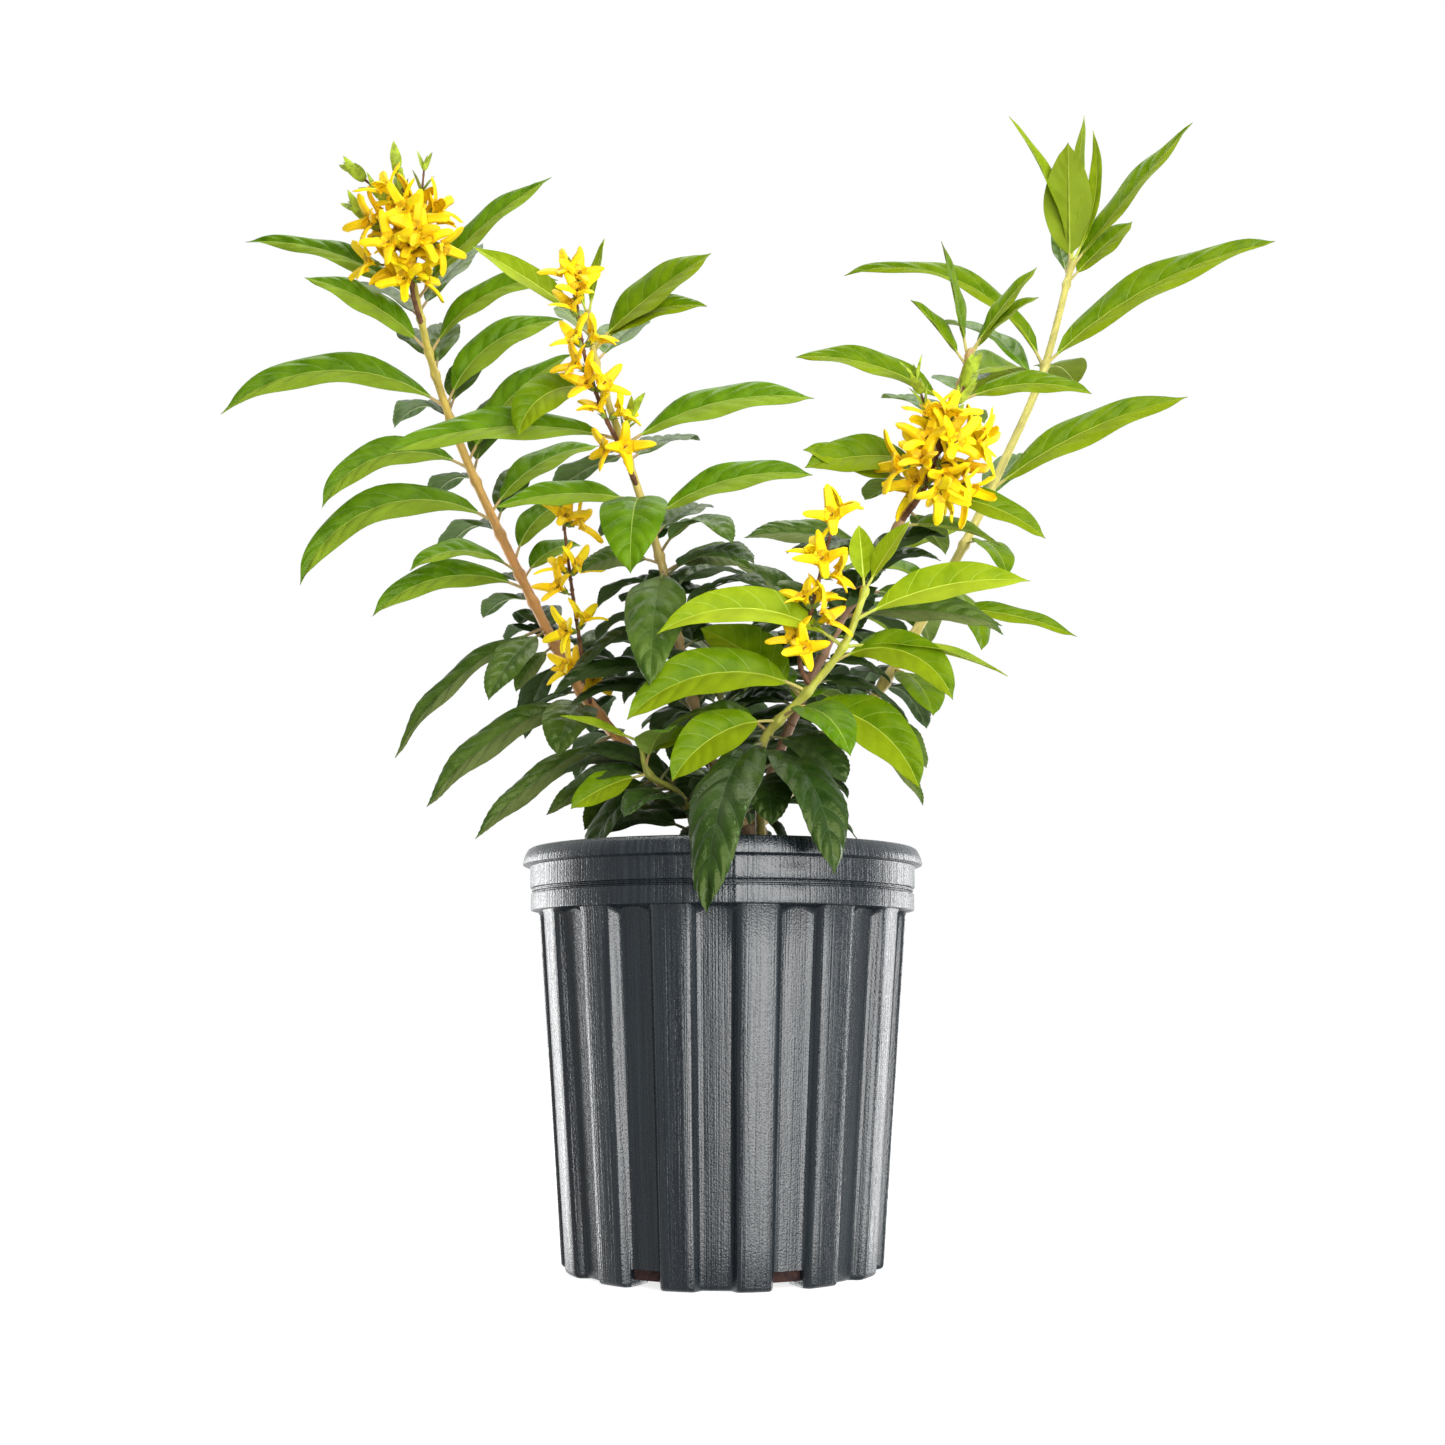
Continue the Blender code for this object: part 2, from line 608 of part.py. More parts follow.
def twig_line(twig, lines):
    start = point_at_height(lines[twig["cane"]], twig["start"])
    return smooth_route([tuple(start)] + twig["route"], per_span=3)


def blossom_spots(twig, line):
    """Where the blossoms sit on a twig: root, heading and lift of each."""
    spots = []
    last = len(line) - 1
    for ring in range(twig["rings"]):
        share = twig["first"] + (1.0 - twig["first"]) * ring / (twig["rings"] - 1)
        place = share * last
        low = min(int(place), last - 1)
        root = line[low].lerp(line[low + 1], place - low)
        for k in range(twig["around"]):
            middle = (k + 0.5) / twig["around"] - 0.5
            stagger = BLOSSOM_STAGGER if ring % 2 else -BLOSSOM_STAGGER
            heading = 270.0 + 2.0 * twig["spread"] * middle + stagger
            spots.append((root, heading, BLOSSOM_LIFT[0] + (BLOSSOM_LIFT[1] - BLOSSOM_LIFT[0]) * share))
    return spots


def try_blossom(spot, draw):
    """A blossom at its spot, turned a little at random."""
    root, heading, lift = spot
    heading = math.radians(heading + draw.uniform(-BLOSSOM_LEAN, BLOSSOM_LEAN))
    lift = math.radians(lift + draw.uniform(-BLOSSOM_LEAN, BLOSSOM_LEAN))
    axis = Vector((math.cos(heading) * math.cos(lift), math.sin(heading) * math.cos(lift), math.sin(lift)))
    return root, axis, draw.uniform(0.0, math.pi / 2), draw.uniform(*BLOSSOM_SIZE)


def tree_of(points, faces):
    return BVHTree.FromPolygons([Vector(point) for point in points], faces)


def free_of(solid, trees):
    """True where a solid touches none of the given ones."""
    probe = tree_of(*solid)
    return not any(probe.overlap(tree) for tree in trees)


def tree_of_object(thing):
    points = [tuple(vertex.co / MM) for vertex in thing.data.vertices]
    return tree_of(points, [tuple(face.vertices) for face in thing.data.polygons])


def behind_rows(name):
    """A leaf behind each long leaf in front, turned away from the viewer."""
    rows = []
    for height, turn, rise, droop, length, face, width in LEAVES[name]:
        if height < BEHIND.get(name, math.inf) or length < BEHIND_SHORTEST or not -40 < turn < 220:
            continue
        turned = 90.0 + (turn - 90.0) * BEHIND_TURN
        rows.append((height - BEHIND_DROP, turned, rise, droop * BEHIND_DROOP, length * BEHIND_LENGTH,
                     face * BEHIND_FACE, width))
    return rows


def fill_rows(name):
    """Leaves by rule for the dense foot of the shrub."""
    first, last, count, turn_low, turn_high, low_length, high_length, width = FILL[name]
    draw = random.Random("fill " + name)
    rows = []
    for k in range(count):
        share = k / (count - 1)
        length = low_length + (high_length - low_length) * share
        rise = FILL_RISE[0] + (FILL_RISE[1] - FILL_RISE[0]) * share
        droop = FILL_DROOP[0] + (FILL_DROOP[1] - FILL_DROOP[0]) * share
        rows.append((first + (last - first) * share, draw.uniform(turn_low, turn_high), rise, droop,
                     length, FILL_FACE, width))
    return rows


def varied(row, draw):
    """The same leaf, moved and turned a little."""
    height, turn, rise, droop, length, face, width = row
    return (height + draw.uniform(-TRY_HEIGHT, TRY_HEIGHT), turn + draw.uniform(-TRY_TURN, TRY_TURN),
            rise + draw.uniform(-TRY_RISE, TRY_RISE), droop, length * draw.uniform(TRY_SHORTER, 1.0),
            face, width)


def fuse(name, stem, solids, finish):
    """Join a stem and all that grows on it into one closed solid."""
    mass = mesh_object(name, *stem, finish)
    group = bpy.data.collections.new(name + "_pieces")
    bpy.context.scene.collection.children.link(group)
    pieces = []
    for points, faces in solids:
        piece = mesh_object(name + "_piece", points, faces)
        bpy.context.scene.collection.objects.unlink(piece)
        group.objects.link(piece)
        pieces.append(piece)
    join = mass.modifiers.new("fuse", "BOOLEAN")
    join.operation = "UNION"
    join.operand_type = "COLLECTION"
    join.collection = group
    join.solver = "MANIFOLD"
    apply_modifiers(mass)
    for piece in pieces:
        bpy.data.objects.remove(piece, do_unlink=True)
    bpy.data.collections.remove(group)
    keep_outer_body(mass)
    mass.data.materials.clear()
    mass.data.materials.append(finish)
    return mass


def keep_outer_body(thing):
    """Drop loose scraps and the skins of sealed hollows: the largest body stays."""
    mesh = bmesh.new()
    mesh.from_mesh(thing.data)
    bmesh.ops.triangulate(mesh, faces=mesh.faces[:])
    unseen = set(mesh.faces)
    bodies = []
    while unseen:
        body, edge = [], [unseen.pop()]
        while edge:
            face = edge.pop()
            body.append(face)
            for side in face.edges:
                for other in side.link_faces:
                    if other in unseen:
                        unseen.discard(other)
                        edge.append(other)
        bodies.append(body)
    bodies.sort(key=len, reverse=True)
    scraps = [face for body in bodies[1:] for face in body]
    dropped = [[round(c / MM) for c in body[0].calc_center_median()] for body in bodies[1:]]
    bmesh.ops.delete(mesh, geom=scraps, context="FACES")
    mesh.to_mesh(thing.data)
    mesh.free()
    print(thing.name, "triangles", len(thing.data.polygons), "dropped at", dropped)


def main():
    clear_scene()
    pot_finish = material("black moulded plastic", (0.030, 0.036, 0.042), 0.34)
    mix_finish = material("potting mix", (0.060, 0.026, 0.020), 0.95)
    bark_finish = material("brown bark", (0.200, 0.110, 0.055), 0.80)
    cane_finish = material("young orange bark", (0.520, 0.300, 0.100), 0.55)
    leaf_finish = {
        "left": material("leaves of the left cane", (0.100, 0.240, 0.030), 0.42),
        "centre": material("leaves of the centre cane", (0.080, 0.210, 0.030), 0.42),
        "right": material("leaves of the right cane", (0.110, 0.260, 0.030), 0.42),
        "far": material("leaves of the far cane", (0.160, 0.330, 0.030), 0.42),
        "low_right": material("leaves of the low right shoot", (0.180, 0.380, 0.030), 0.42),
        "low_left": material("leaves of the low left shoot", (0.240, 0.400, 0.030), 0.42),
        "low_back": material("leaves of the low back shoot", (0.040, 0.110, 0.035), 0.42),
    }

    pot = make_pot(pot_finish)
    mix = make_potting_mix(mix_finish)
    foot = make_woody_foot(bark_finish)
    lines = {name: smooth_route(cane["route"]) for name, cane in CANES.items()}
    fixed = [tree_of_object(thing) for thing in (pot, mix, foot)]
    for name, cane in CANES.items():
        if cane["bough_top"] is not None:
            fixed.append(tree_of_object(make_bough(name, cane, lines[name], cane_finish)))

    stems = {name: make_stem(name, cane, lines[name]) for name, cane in CANES.items()}
    stem_trees = {name: tree_of(*stems[name]) for name in CANES}
    grown = {name: [] for name in CANES}
    grown_trees = {name: [] for name in CANES}

    def room_for(name, solid, own=False):
        """True where a solid is clear of the other masses, and of its own one too if asked."""
        others = [tree for key, tree in stem_trees.items() if key != name]
        others += [tree for key in CANES if own or key != name for tree in grown_trees[key]]
        return free_of(solid, fixed + others)

    def grow(name, solid, probe=None):
        grown[name].append(solid)
        grown_trees[name].append(tree_of(*(probe or solid)))

    for twig in TWIGS:
        name = twig["cane"]
        line = twig_line(twig, lines)
        first, last = twig["radius"]
        radii = {tuple(point): first + (last - first) * k / (len(line) - 1) for k, point in enumerate(line)}
        shoot = thin_line(line, STEM_ERROR)
        draw = random.Random("blossom %s %d" % (name, twig["start"]))
        for spot in blossom_spots(twig, line):
            for attempt in range(BLOSSOM_TRIES):
                pose = try_blossom(spot, draw)
                petals = blossom_solid(*pose, calyx=False)
                if room_for(name, petals, own=True):
                    grow(name, blossom_solid(*pose), petals)
                    break
            else:
                print("blossom skipped:", name, [round(c) for c in spot[0]])
        wood = tube(shoot, [radii[tuple(point)] for point in shoot], TWIG_SIDES)
        if not room_for(name, wood):
            print("twig touches something:", name, twig["start"])
        grow(name, wood)
    for start, end in BUD_SHOOTS:
        start, end = Vector(start), Vector(end)
        along = (end - start).normalized()
        grow("left", tube([start, end], [BUD_RADIUS, BUD_RADIUS * 0.7], TWIG_SIDES))
        grow("left", spindle(end - along * BUD_LENGTH * (1.0 - BUD_PAST_TIP),
                             end + along * BUD_LENGTH * BUD_PAST_TIP, BUD_WIDTH / 2))

    for rows_of, tries in ((LEAVES.__getitem__, 1), (behind_rows, LEAF_TRIES), (fill_rows, LEAF_TRIES)):
        for name in CANES:
            draw = random.Random("leaves " + name)
            for number, row in enumerate(rows_of(name)):
                for attempt in range(tries):
                    pose = varied(row, draw) if attempt else row
                    base = point_at_height(lines[name], pose[0])
                    if room_for(name, leaf_solid(base, pose, TEST_MARGIN), own=tries > 1):
                        grow(name, leaf_solid(base, pose))
                        break
                else:
                    print("leaf skipped:", name, number, [round(c) for c in row])

    for name in CANES:
        fuse(name + "_foliage", stems[name], grown[name], leaf_finish[name])


main()
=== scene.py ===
# %% [markdown]
# # A potted forsythia in flower
#
# This lesson dresses a young forsythia bush in its nursery pot. A plain model of it is
# loaded first. It fixes every size and place, and the lesson only gives each piece its fine
# shape and its finish: bark, leaves with their veins, blossom, moulded plastic and potting
# mix. Sizes are written in millimetres, and turned into metres when a mesh is made.

# %% Load the plain model
import random
from math import cos, dist, exp, hypot, inf, pi, radians, sin, sqrt, tau

import bpy
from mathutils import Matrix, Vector, noise
from mathutils.bvhtree import BVHTree


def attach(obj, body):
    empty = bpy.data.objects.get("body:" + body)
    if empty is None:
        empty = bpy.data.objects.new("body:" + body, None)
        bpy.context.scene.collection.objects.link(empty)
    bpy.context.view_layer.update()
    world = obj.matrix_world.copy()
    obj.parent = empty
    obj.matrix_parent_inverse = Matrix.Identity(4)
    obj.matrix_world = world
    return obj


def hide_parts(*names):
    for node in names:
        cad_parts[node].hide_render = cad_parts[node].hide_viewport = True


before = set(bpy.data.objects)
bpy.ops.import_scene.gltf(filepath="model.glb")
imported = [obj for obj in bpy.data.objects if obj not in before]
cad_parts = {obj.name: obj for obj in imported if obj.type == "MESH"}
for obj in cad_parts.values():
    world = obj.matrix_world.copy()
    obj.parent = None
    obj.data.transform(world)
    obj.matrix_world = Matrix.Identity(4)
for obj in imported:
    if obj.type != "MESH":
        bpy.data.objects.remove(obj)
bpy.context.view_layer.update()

MM = 0.001

# %% [markdown]
# ## The camera
#
# The bush is seen from low in front, a little over the height of the pot's middle, through
# a short telephoto lens that looks slightly up. A sensor and a focal length are used as on a
# real camera, so the pot's rim shows its true, flat curve.

# %% Camera
CAMERA_PLACE = (0.0, -870.0, 133.0)
CAMERA_LENS = 43.5
CAMERA_SENSOR = 36.0
CAMERA_UP = 8.6  # degrees above the level

def add_camera():
    lens = bpy.data.cameras.new("camera")
    lens.lens = CAMERA_LENS
    lens.sensor_width = CAMERA_SENSOR
    camera = bpy.data.objects.new("camera", lens)
    camera.location = [c * MM for c in CAMERA_PLACE]
    camera.rotation_euler = (radians(90.0 + CAMERA_UP), 0.0, 0.0)
    bpy.context.scene.collection.objects.link(camera)
    bpy.context.scene.camera = camera

add_camera()
print("camera looks up by", CAMERA_UP, "degrees")

# %% [markdown]
# ## The studio
#
# A plant for a catalogue stands on pale paper under broad soft lights. The paper is a plain
# square, and only the camera sees its glow, so it doesn't wash out the leaves from below.

# %% Floor
FLOOR_SIZE = 9000.0
PAPER_COLOUR = (0.5, 0.49, 0.48)
PAPER_GLOW = 0.78
WHITE = (1.0, 1.0, 1.0)

def make_mesh(name, points, faces):
    """An object from points in millimetres."""
    mesh = bpy.data.meshes.new(name)
    mesh.from_pydata([tuple(c * MM for c in point) for point in points], [], faces)
    thing = bpy.data.objects.new(name, mesh)
    bpy.context.scene.collection.objects.link(thing)
    return thing

def plain_finish(name, colour, roughness, **sockets):
    """A Principled material. Sockets are given by their names, with _ for a space."""
    finish = bpy.data.materials.new(name)
    finish.use_nodes = True
    shader = finish.node_tree.nodes["Principled BSDF"]
    shader.inputs["Base Color"].default_value = (*colour, 1.0)
    shader.inputs["Roughness"].default_value = roughness
    for socket, value in sockets.items():
        shader.inputs[socket.replace("_", " ")].default_value = value
    return finish

def add_floor():
    half = FLOOR_SIZE / 2
    corners = [(-half, -half, 0), (half, -half, 0), (half, half, 0), (-half, half, 0)]
    floor = make_mesh("floor", corners, [(0, 1, 2, 3)])
    paper = plain_finish("pale floor", PAPER_COLOUR, 0.9, Emission_Color=(*WHITE, 1.0))
    tree = paper.node_tree
    glow = tree.nodes.new("ShaderNodeMath")
    glow.operation = "MULTIPLY"
    glow.inputs[1].default_value = PAPER_GLOW
    seen = tree.nodes.new("ShaderNodeLightPath")
    tree.links.new(seen.outputs["Is Camera Ray"], glow.inputs[0])
    tree.links.new(glow.outputs[0], tree.nodes["Principled BSDF"].inputs["Emission Strength"])
    floor.data.materials.append(paper)
    floor.visible_glossy = False
    floor.visible_shadow = False

add_floor()
print("floor:", FLOOR_SIZE * MM, "m square")

# %% [markdown]
# A wide lamp in front, a little to the right, is the key. One hangs overhead, and two stand
# low behind, at the sides, and draw the bright edges of the pot.

# %% Lamps
LIGHTS = {  # place, aim, width and height, power in watts
    "top_light": ((-60.0, 160.0, 1500.0), (0.0, 0.0, 320.0), (1100.0, 800.0), 11.0),
    "key_light": ((560.0, -1040.0, 440.0), (0.0, 0.0, 440.0), (1250.0, 1660.0), 31.0),
    "left_edge_light": ((-1000.0, 800.0, 60.0), (0.0, 0.0, 60.0), (640.0, 820.0), 9.0),
    "right_edge_light": ((1000.0, 800.0, 60.0), (0.0, 0.0, 60.0), (520.0, 820.0), 7.0),
}

def add_lamp(name, place, aim, size, power):
    lamp = bpy.data.lights.new(name, "AREA")
    lamp.shape = "RECTANGLE"
    lamp.size, lamp.size_y = (side * MM for side in size)
    lamp.energy = power
    light = bpy.data.objects.new(name, lamp)
    light.location = [c * MM for c in place]
    light.rotation_euler = (Vector(aim) - Vector(place)).to_track_quat("-Z", "Y").to_euler()
    bpy.context.scene.collection.objects.link(light)

for name, lamp in LIGHTS.items():
    add_lamp(name, *lamp)
print("lights:", ", ".join(LIGHTS))

# %% [markdown]
# The room is darker in front than behind, so black plastic stays black between its
# highlights. The camera sees a white backdrop in place of the room.

# %% Room
ROOM_COLOUR = (0.96, 0.98, 1.0)
ROOM_STRENGTH = (0.36, 0.95)
ROOM_CHANGE = (-0.2, 0.5)  # where it changes, from -1 straight in front to 1 behind

def add_room():
    world = bpy.data.worlds.new("studio")
    world.use_nodes = True
    tree = world.node_tree
    room = tree.nodes["Background"]
    room.inputs["Color"].default_value = (*ROOM_COLOUR, 1.0)
    way = tree.nodes.new("ShaderNodeTexCoord")
    split = tree.nodes.new("ShaderNodeSeparateXYZ")
    front_to_back = tree.nodes.new("ShaderNodeMapRange")
    for socket, value in zip(("From Min", "From Max", "To Min", "To Max"), ROOM_CHANGE + ROOM_STRENGTH):
        front_to_back.inputs[socket].default_value = value
    tree.links.new(way.outputs["Generated"], split.inputs[0])
    tree.links.new(split.outputs["Y"], front_to_back.inputs["Value"])
    tree.links.new(front_to_back.outputs["Result"], room.inputs["Strength"])
    backdrop = tree.nodes.new("ShaderNodeBackground")
    backdrop.inputs["Color"].default_value = (*WHITE, 1.0)
    ray = tree.nodes.new("ShaderNodeLightPath")
    either = tree.nodes.new("ShaderNodeMixShader")
    tree.links.new(ray.outputs["Is Camera Ray"], either.inputs[0])
    tree.links.new(room.outputs[0], either.inputs[1])
    tree.links.new(backdrop.outputs[0], either.inputs[2])
    tree.links.new(either.outputs[0], tree.nodes["World Output"].inputs[0])
    bpy.context.scene.world = world
    bpy.context.scene.view_settings.view_transform = "Standard"

add_room()
print("room strength, in front and behind:", ROOM_STRENGTH)

# %% [markdown]
# ## Helpers for finishes
#
# A finish is a small graph of nodes. A few helpers keep the lesson short: they add a noise
# or a pattern of cells, turn it into colours, mix colours, and raise a bump. The patterns
# lie in the object's own space, so they stay on the piece whatever the view.

# %% Finish helpers
MIX_INPUTS = (0, 6, 7)  # share, first and second colour of a Mix node that is set to colours
MIX_OUTPUT = 2

class Finish:
    """A Principled material with a few helpers to build on its node graph."""

    def __init__(self, name, colour, roughness, **sockets):
        self.material = plain_finish(name, colour, roughness, **sockets)
        self.tree = self.material.node_tree
        self.shader = self.tree.nodes["Principled BSDF"]
        self.bump_before = None

    def node(self, kind, **values):
        made = self.tree.nodes.new(kind)
        for key, value in values.items():
            setattr(made, key, value)
        return made

    def link(self, source, target):
        self.tree.links.new(source, target)

    def place(self, stretch=(1.0, 1.0, 1.0)):
        coordinates = self.node("ShaderNodeTexCoord")
        scaled = self.node("ShaderNodeMapping")
        scaled.inputs["Scale"].default_value = stretch
        self.link(coordinates.outputs["Object"], scaled.inputs["Vector"])
        return scaled.outputs["Vector"]

    def noise(self, scale, detail=3.0, stretch=(1.0, 1.0, 1.0), place=None):
        texture = self.node("ShaderNodeTexNoise")
        texture.inputs["Scale"].default_value = scale
        texture.inputs["Detail"].default_value = detail
        self.link(place or self.place(stretch), texture.inputs["Vector"])
        return texture.outputs["Fac"]

    def cells(self, scale, feature="F1"):
        texture = self.node("ShaderNodeTexVoronoi", feature=feature)
        texture.inputs["Scale"].default_value = scale
        self.link(self.place(), texture.inputs["Vector"])
        return texture.outputs["Distance"]

    def ramp(self, value, *stops):
        """Colours along a value. Each stop is a place and a colour, or a place and a grey."""
        ramp = self.node("ShaderNodeValToRGB")
        elements = ramp.color_ramp.elements
        while len(elements) < len(stops):
            elements.new(0.5)
        for element, (place, colour) in zip(elements, stops):
            element.position = place
            shade = colour if isinstance(colour, tuple) else (colour, colour, colour)
            element.color = (*shade, 1.0)
        self.link(value, ramp.inputs["Fac"])
        return ramp.outputs["Color"]

    def mix(self, share, first, second, how="MIX"):
        """Two colours mixed by a share. Each of the three is an output or a fixed value."""
        mixer = self.node("ShaderNodeMix", data_type="RGBA", blend_type=how)
        for number, source in zip(MIX_INPUTS, (share, first, second)):
            if isinstance(source, tuple):
                mixer.inputs[number].default_value = (*source, 1.0)
            elif isinstance(source, float):
                mixer.inputs[number].default_value = source
            else:
                self.link(source, mixer.inputs[number])
        return mixer.outputs[MIX_OUTPUT]

    def colour(self, output):
        self.link(output, self.shader.inputs["Base Color"])

    def roughness(self, output):
        self.link(output, self.shader.inputs["Roughness"])

    def bump(self, height, depth):
        """Add a bump over those before it. Its depth is in millimetres."""
        bump = self.node("ShaderNodeBump")
        bump.inputs["Strength"].default_value = 1.0
        bump.inputs["Distance"].default_value = depth * MM
        self.link(height, bump.inputs["Height"])
        if self.bump_before is not None:
            self.link(self.bump_before, bump.inputs["Normal"])
        self.bump_before = bump.outputs["Normal"]
        self.link(self.bump_before, self.shader.inputs["Normal"])

print("finish helpers ready")

# %% [markdown]
# ## The nursery pot
#
# The pot is blown from black plastic: fourteen flat-topped ribs stiffen its wall, two bands
# run round it under the lip, and the lip ends in a skirt. Such a round piece is best made as
# a grid, one ring of points for each height. Every ring gets its own radius, and the ribs
# are added to it by one smooth function of the angle, so their edges come out round.

# %% Pot sizes
FLOOR = 2.6
FLOOR_RINGS = ((54.0, 1.2), (58.0, 1.2), (59.0, 0.0))
FOOT_ROUND = ((2.4, 0.0), (1.2, 0.3), (0.3, 1.2), (0.0, 2.4))  # inward and height, up the rounded edge
BAND_BOTTOM = 169.6
WALL_RISE = BAND_BOTTOM - 4.4  # of the plain wall, from its rounded edge to the shelf under the band
WALL_STEPS = 8
RIB_COUNT = 14
RIB_PHASE = 10.6  # degrees from the front to the middle of the first rib
RIB_DEPTH = 5.0
RIB_RADIUS_TOP = 90.5
RIB_RADIUS_BOTTOM = 77.3
RIB_CREST = 5.1  # half widths in degrees
RIB_FOOT = 7.9
SHELF_ARCH = 2.6  # how much lower the recess ends beside a rib
WALL = 1.8
INNER_FLOOR_RADIUS = RIB_RADIUS_BOTTOM - RIB_DEPTH - WALL
RIM = [  # radius and height, from the band's lower edge over the lip
    (93.6, 169.6), (94.3, 169.8), (94.6, 170.5), (94.6, 174.0), (94.6, 177.3), (94.4, 177.8),
    (93.5, 178.2), (93.4, 178.6), (94.2, 179.1), (94.2, 179.4), (93.4, 179.8), (93.6, 180.3),
    (94.7, 180.7), (95.0, 181.3), (95.0, 186.0), (95.0, 190.2), (95.3, 190.9), (97.9, 191.6),
    (98.6, 191.9), (98.8, 192.6), (98.3, 195.0), (97.2, 197.6), (96.2, 199.2), (95.0, 199.9),
    (93.8, 200.0), (92.9, 199.6), (92.4, 198.6), (91.6, 195.0), (87.0, 179.0), (83.7, 167.8),
]
SEAM_ANGLES = (-86.3, 93.7)
SEAM_HALF = 0.5
SEAM_HEIGHT = 0.45
SEAM_RADIUS = 94.0  # rings of the rim that are wider than this have the seam

def between(low, high, share):
    """The value at a share of the way from low to high."""
    return low + (high - low) * share

def share_between(value, low, high):
    """How far a value has come on the way from low to high, from 0 to 1."""
    return min(max((value - low) / (high - low), 0.0), 1.0)

def period_offsets():
    """Angles within one rib and one recess, close together where the wall turns."""
    recess = 360.0 / RIB_COUNT - RIB_FOOT
    stretches = ((-RIB_CREST, RIB_CREST, 4), (RIB_CREST, RIB_FOOT, 5), (RIB_FOOT, recess, 6),
                 (recess, recess + RIB_FOOT - RIB_CREST, 5))
    return [low + (high - low) * k / count for low, high, count in stretches for k in range(count)]

def pot_columns():
    columns = []
    period = 360.0 / RIB_COUNT
    for rib in range(RIB_COUNT):
        for offset in period_offsets():
            near = min(abs(offset), abs(period - offset))
            rise = share_between(near, RIB_FOOT, RIB_CREST)
            smooth = rise * rise * (3.0 - 2.0 * rise)
            beside = share_between(near, period / 2, RIB_FOOT)
            columns.append((-90.0 + RIB_PHASE + rib * period + offset, smooth, beside))
    return columns

def seam_bump(angle):
    away = min(abs((angle - seam + 180.0) % 360.0 - 180.0) for seam in SEAM_ANGLES)
    return SEAM_HEIGHT * max(0.0, 1.0 - away / (2.0 * SEAM_HALF))

def recess_radius(height):
    return between(RIB_RADIUS_BOTTOM, RIB_RADIUS_TOP, height / BAND_BOTTOM) - RIB_DEPTH

print("columns of the pot's grid:", len(pot_columns()))

# %% Pot rings
SHELF_RINGS = (  # outward, below the band, how much lower the rib is, share of the arch, seam
    (0.5, 0.7, 0.0, 0.9, 1.0),
    (2.0, 0.2, 1.4, 0.5, 0.0),
)

def pot_rings():
    columns = pot_columns()
    rings = []

    def ring(radius, height, rib=0.0, arch=0.0, seam=0.0):
        points = []
        for angle, share, beside in columns:
            reach = radius + rib * share + seam * seam_bump(angle)
            z = height - arch * beside ** 3 * (1.0 - share)
            points.append((reach * cos(radians(angle)), reach * sin(radians(angle)), z))
        rings.append(points)

    for radius, height in FLOOR_RINGS:
        ring(radius, height)
    for inward, height in FOOT_ROUND:
        ring(recess_radius(height) - inward, height, RIB_DEPTH)
    for step in range(1, WALL_STEPS + 1):
        height = FOOT_ROUND[-1][1] + WALL_RISE * step / WALL_STEPS
        ring(recess_radius(height), height, RIB_DEPTH, SHELF_ARCH if step == WALL_STEPS else 0.0, 1.0)
    shelf = recess_radius(BAND_BOTTOM)
    for outward, below, lower, arch, seam in SHELF_RINGS:
        ring(shelf + outward, BAND_BOTTOM - below, RIB_DEPTH - lower, SHELF_ARCH * arch, seam)
    for radius, height in RIM:
        ring(radius, height, seam=1.0 if radius > SEAM_RADIUS else 0.0)
    ring(INNER_FLOOR_RADIUS, FLOOR)
    return rings

def skin_rings(rings, start_point=None, end_point=None):
    """Points and faces of a skin over rings of equal size, closed by points or flat caps."""
    size = len(rings[0])
    points = [point for ring in rings for point in ring]
    faces = []
    for row in range(len(rings) - 1):
        low, high = row * size, (row + 1) * size
        for i in range(size):
            j = (i + 1) % size
            faces.append((low + i, low + j, high + j, high + i))
    if start_point is None:
        faces.append(tuple(reversed(range(size))))
    else:
        points.append(start_point)
        faces += [(len(points) - 1, (i + 1) % size, i) for i in range(size)]
    top = (len(rings) - 1) * size
    if end_point is None:
        faces.append(tuple(range(top, top + size)))
    else:
        points.append(end_point)
        faces += [(len(points) - 1, top + i, top + (i + 1) % size) for i in range(size)]
    return points, faces

pot = make_mesh("nursery_pot", *skin_rings(pot_rings(), (0.0, 0.0, FLOOR_RINGS[0][1]), (0.0, 0.0, FLOOR)))
print("pot points:", len(pot.data.vertices))

# %% [markdown]
# ## Drain slots and a nick
#
# Water leaves the pot through slots at the corner of wall and floor, one in every other
# recess. A solid for each slot is taken away from the pot with a Boolean modifier. The same
# step cuts the small upright nick that shows in the mould seam, low on the front.

# %% Cut the slots
DRAIN_COUNT = 7
DRAIN_WIDTH = 15.0
DRAIN_RISE = 8.0
DRAIN_REACH = 15.0
NICK_HEIGHT = 44.0
NICK_OUT = 0.3
NICK_SIZE = (1.1, 1.6, 6.5)  # half sizes across, into the wall and upright
NICK_SIDES = 8
POT_SHARP = 38.0  # where faces meet more sharply than this, the pot's edge stays sharp
UP = Vector((0.0, 0.0, 1.0))

def boxes_at(places):
    """Points and faces of boxes. A place is a centre, three axes and three half sizes."""
    points, faces = [], []
    for centre, axes, halves in places:
        first = len(points)
        for top in (-1, 1):
            for out, side in ((-1, -1), (1, -1), (1, 1), (-1, 1)):
                corner = centre.copy()
                for axis, half, sign in zip(axes, halves, (out, side, top)):
                    corner += axis * half * sign
                points.append(corner)
        a, b, c, d, e, f, g, h = range(first, first + 8)
        faces += [(d, c, b, a), (e, f, g, h), (a, b, f, e), (b, c, g, f), (c, d, h, g), (d, a, e, h)]
    return points, faces

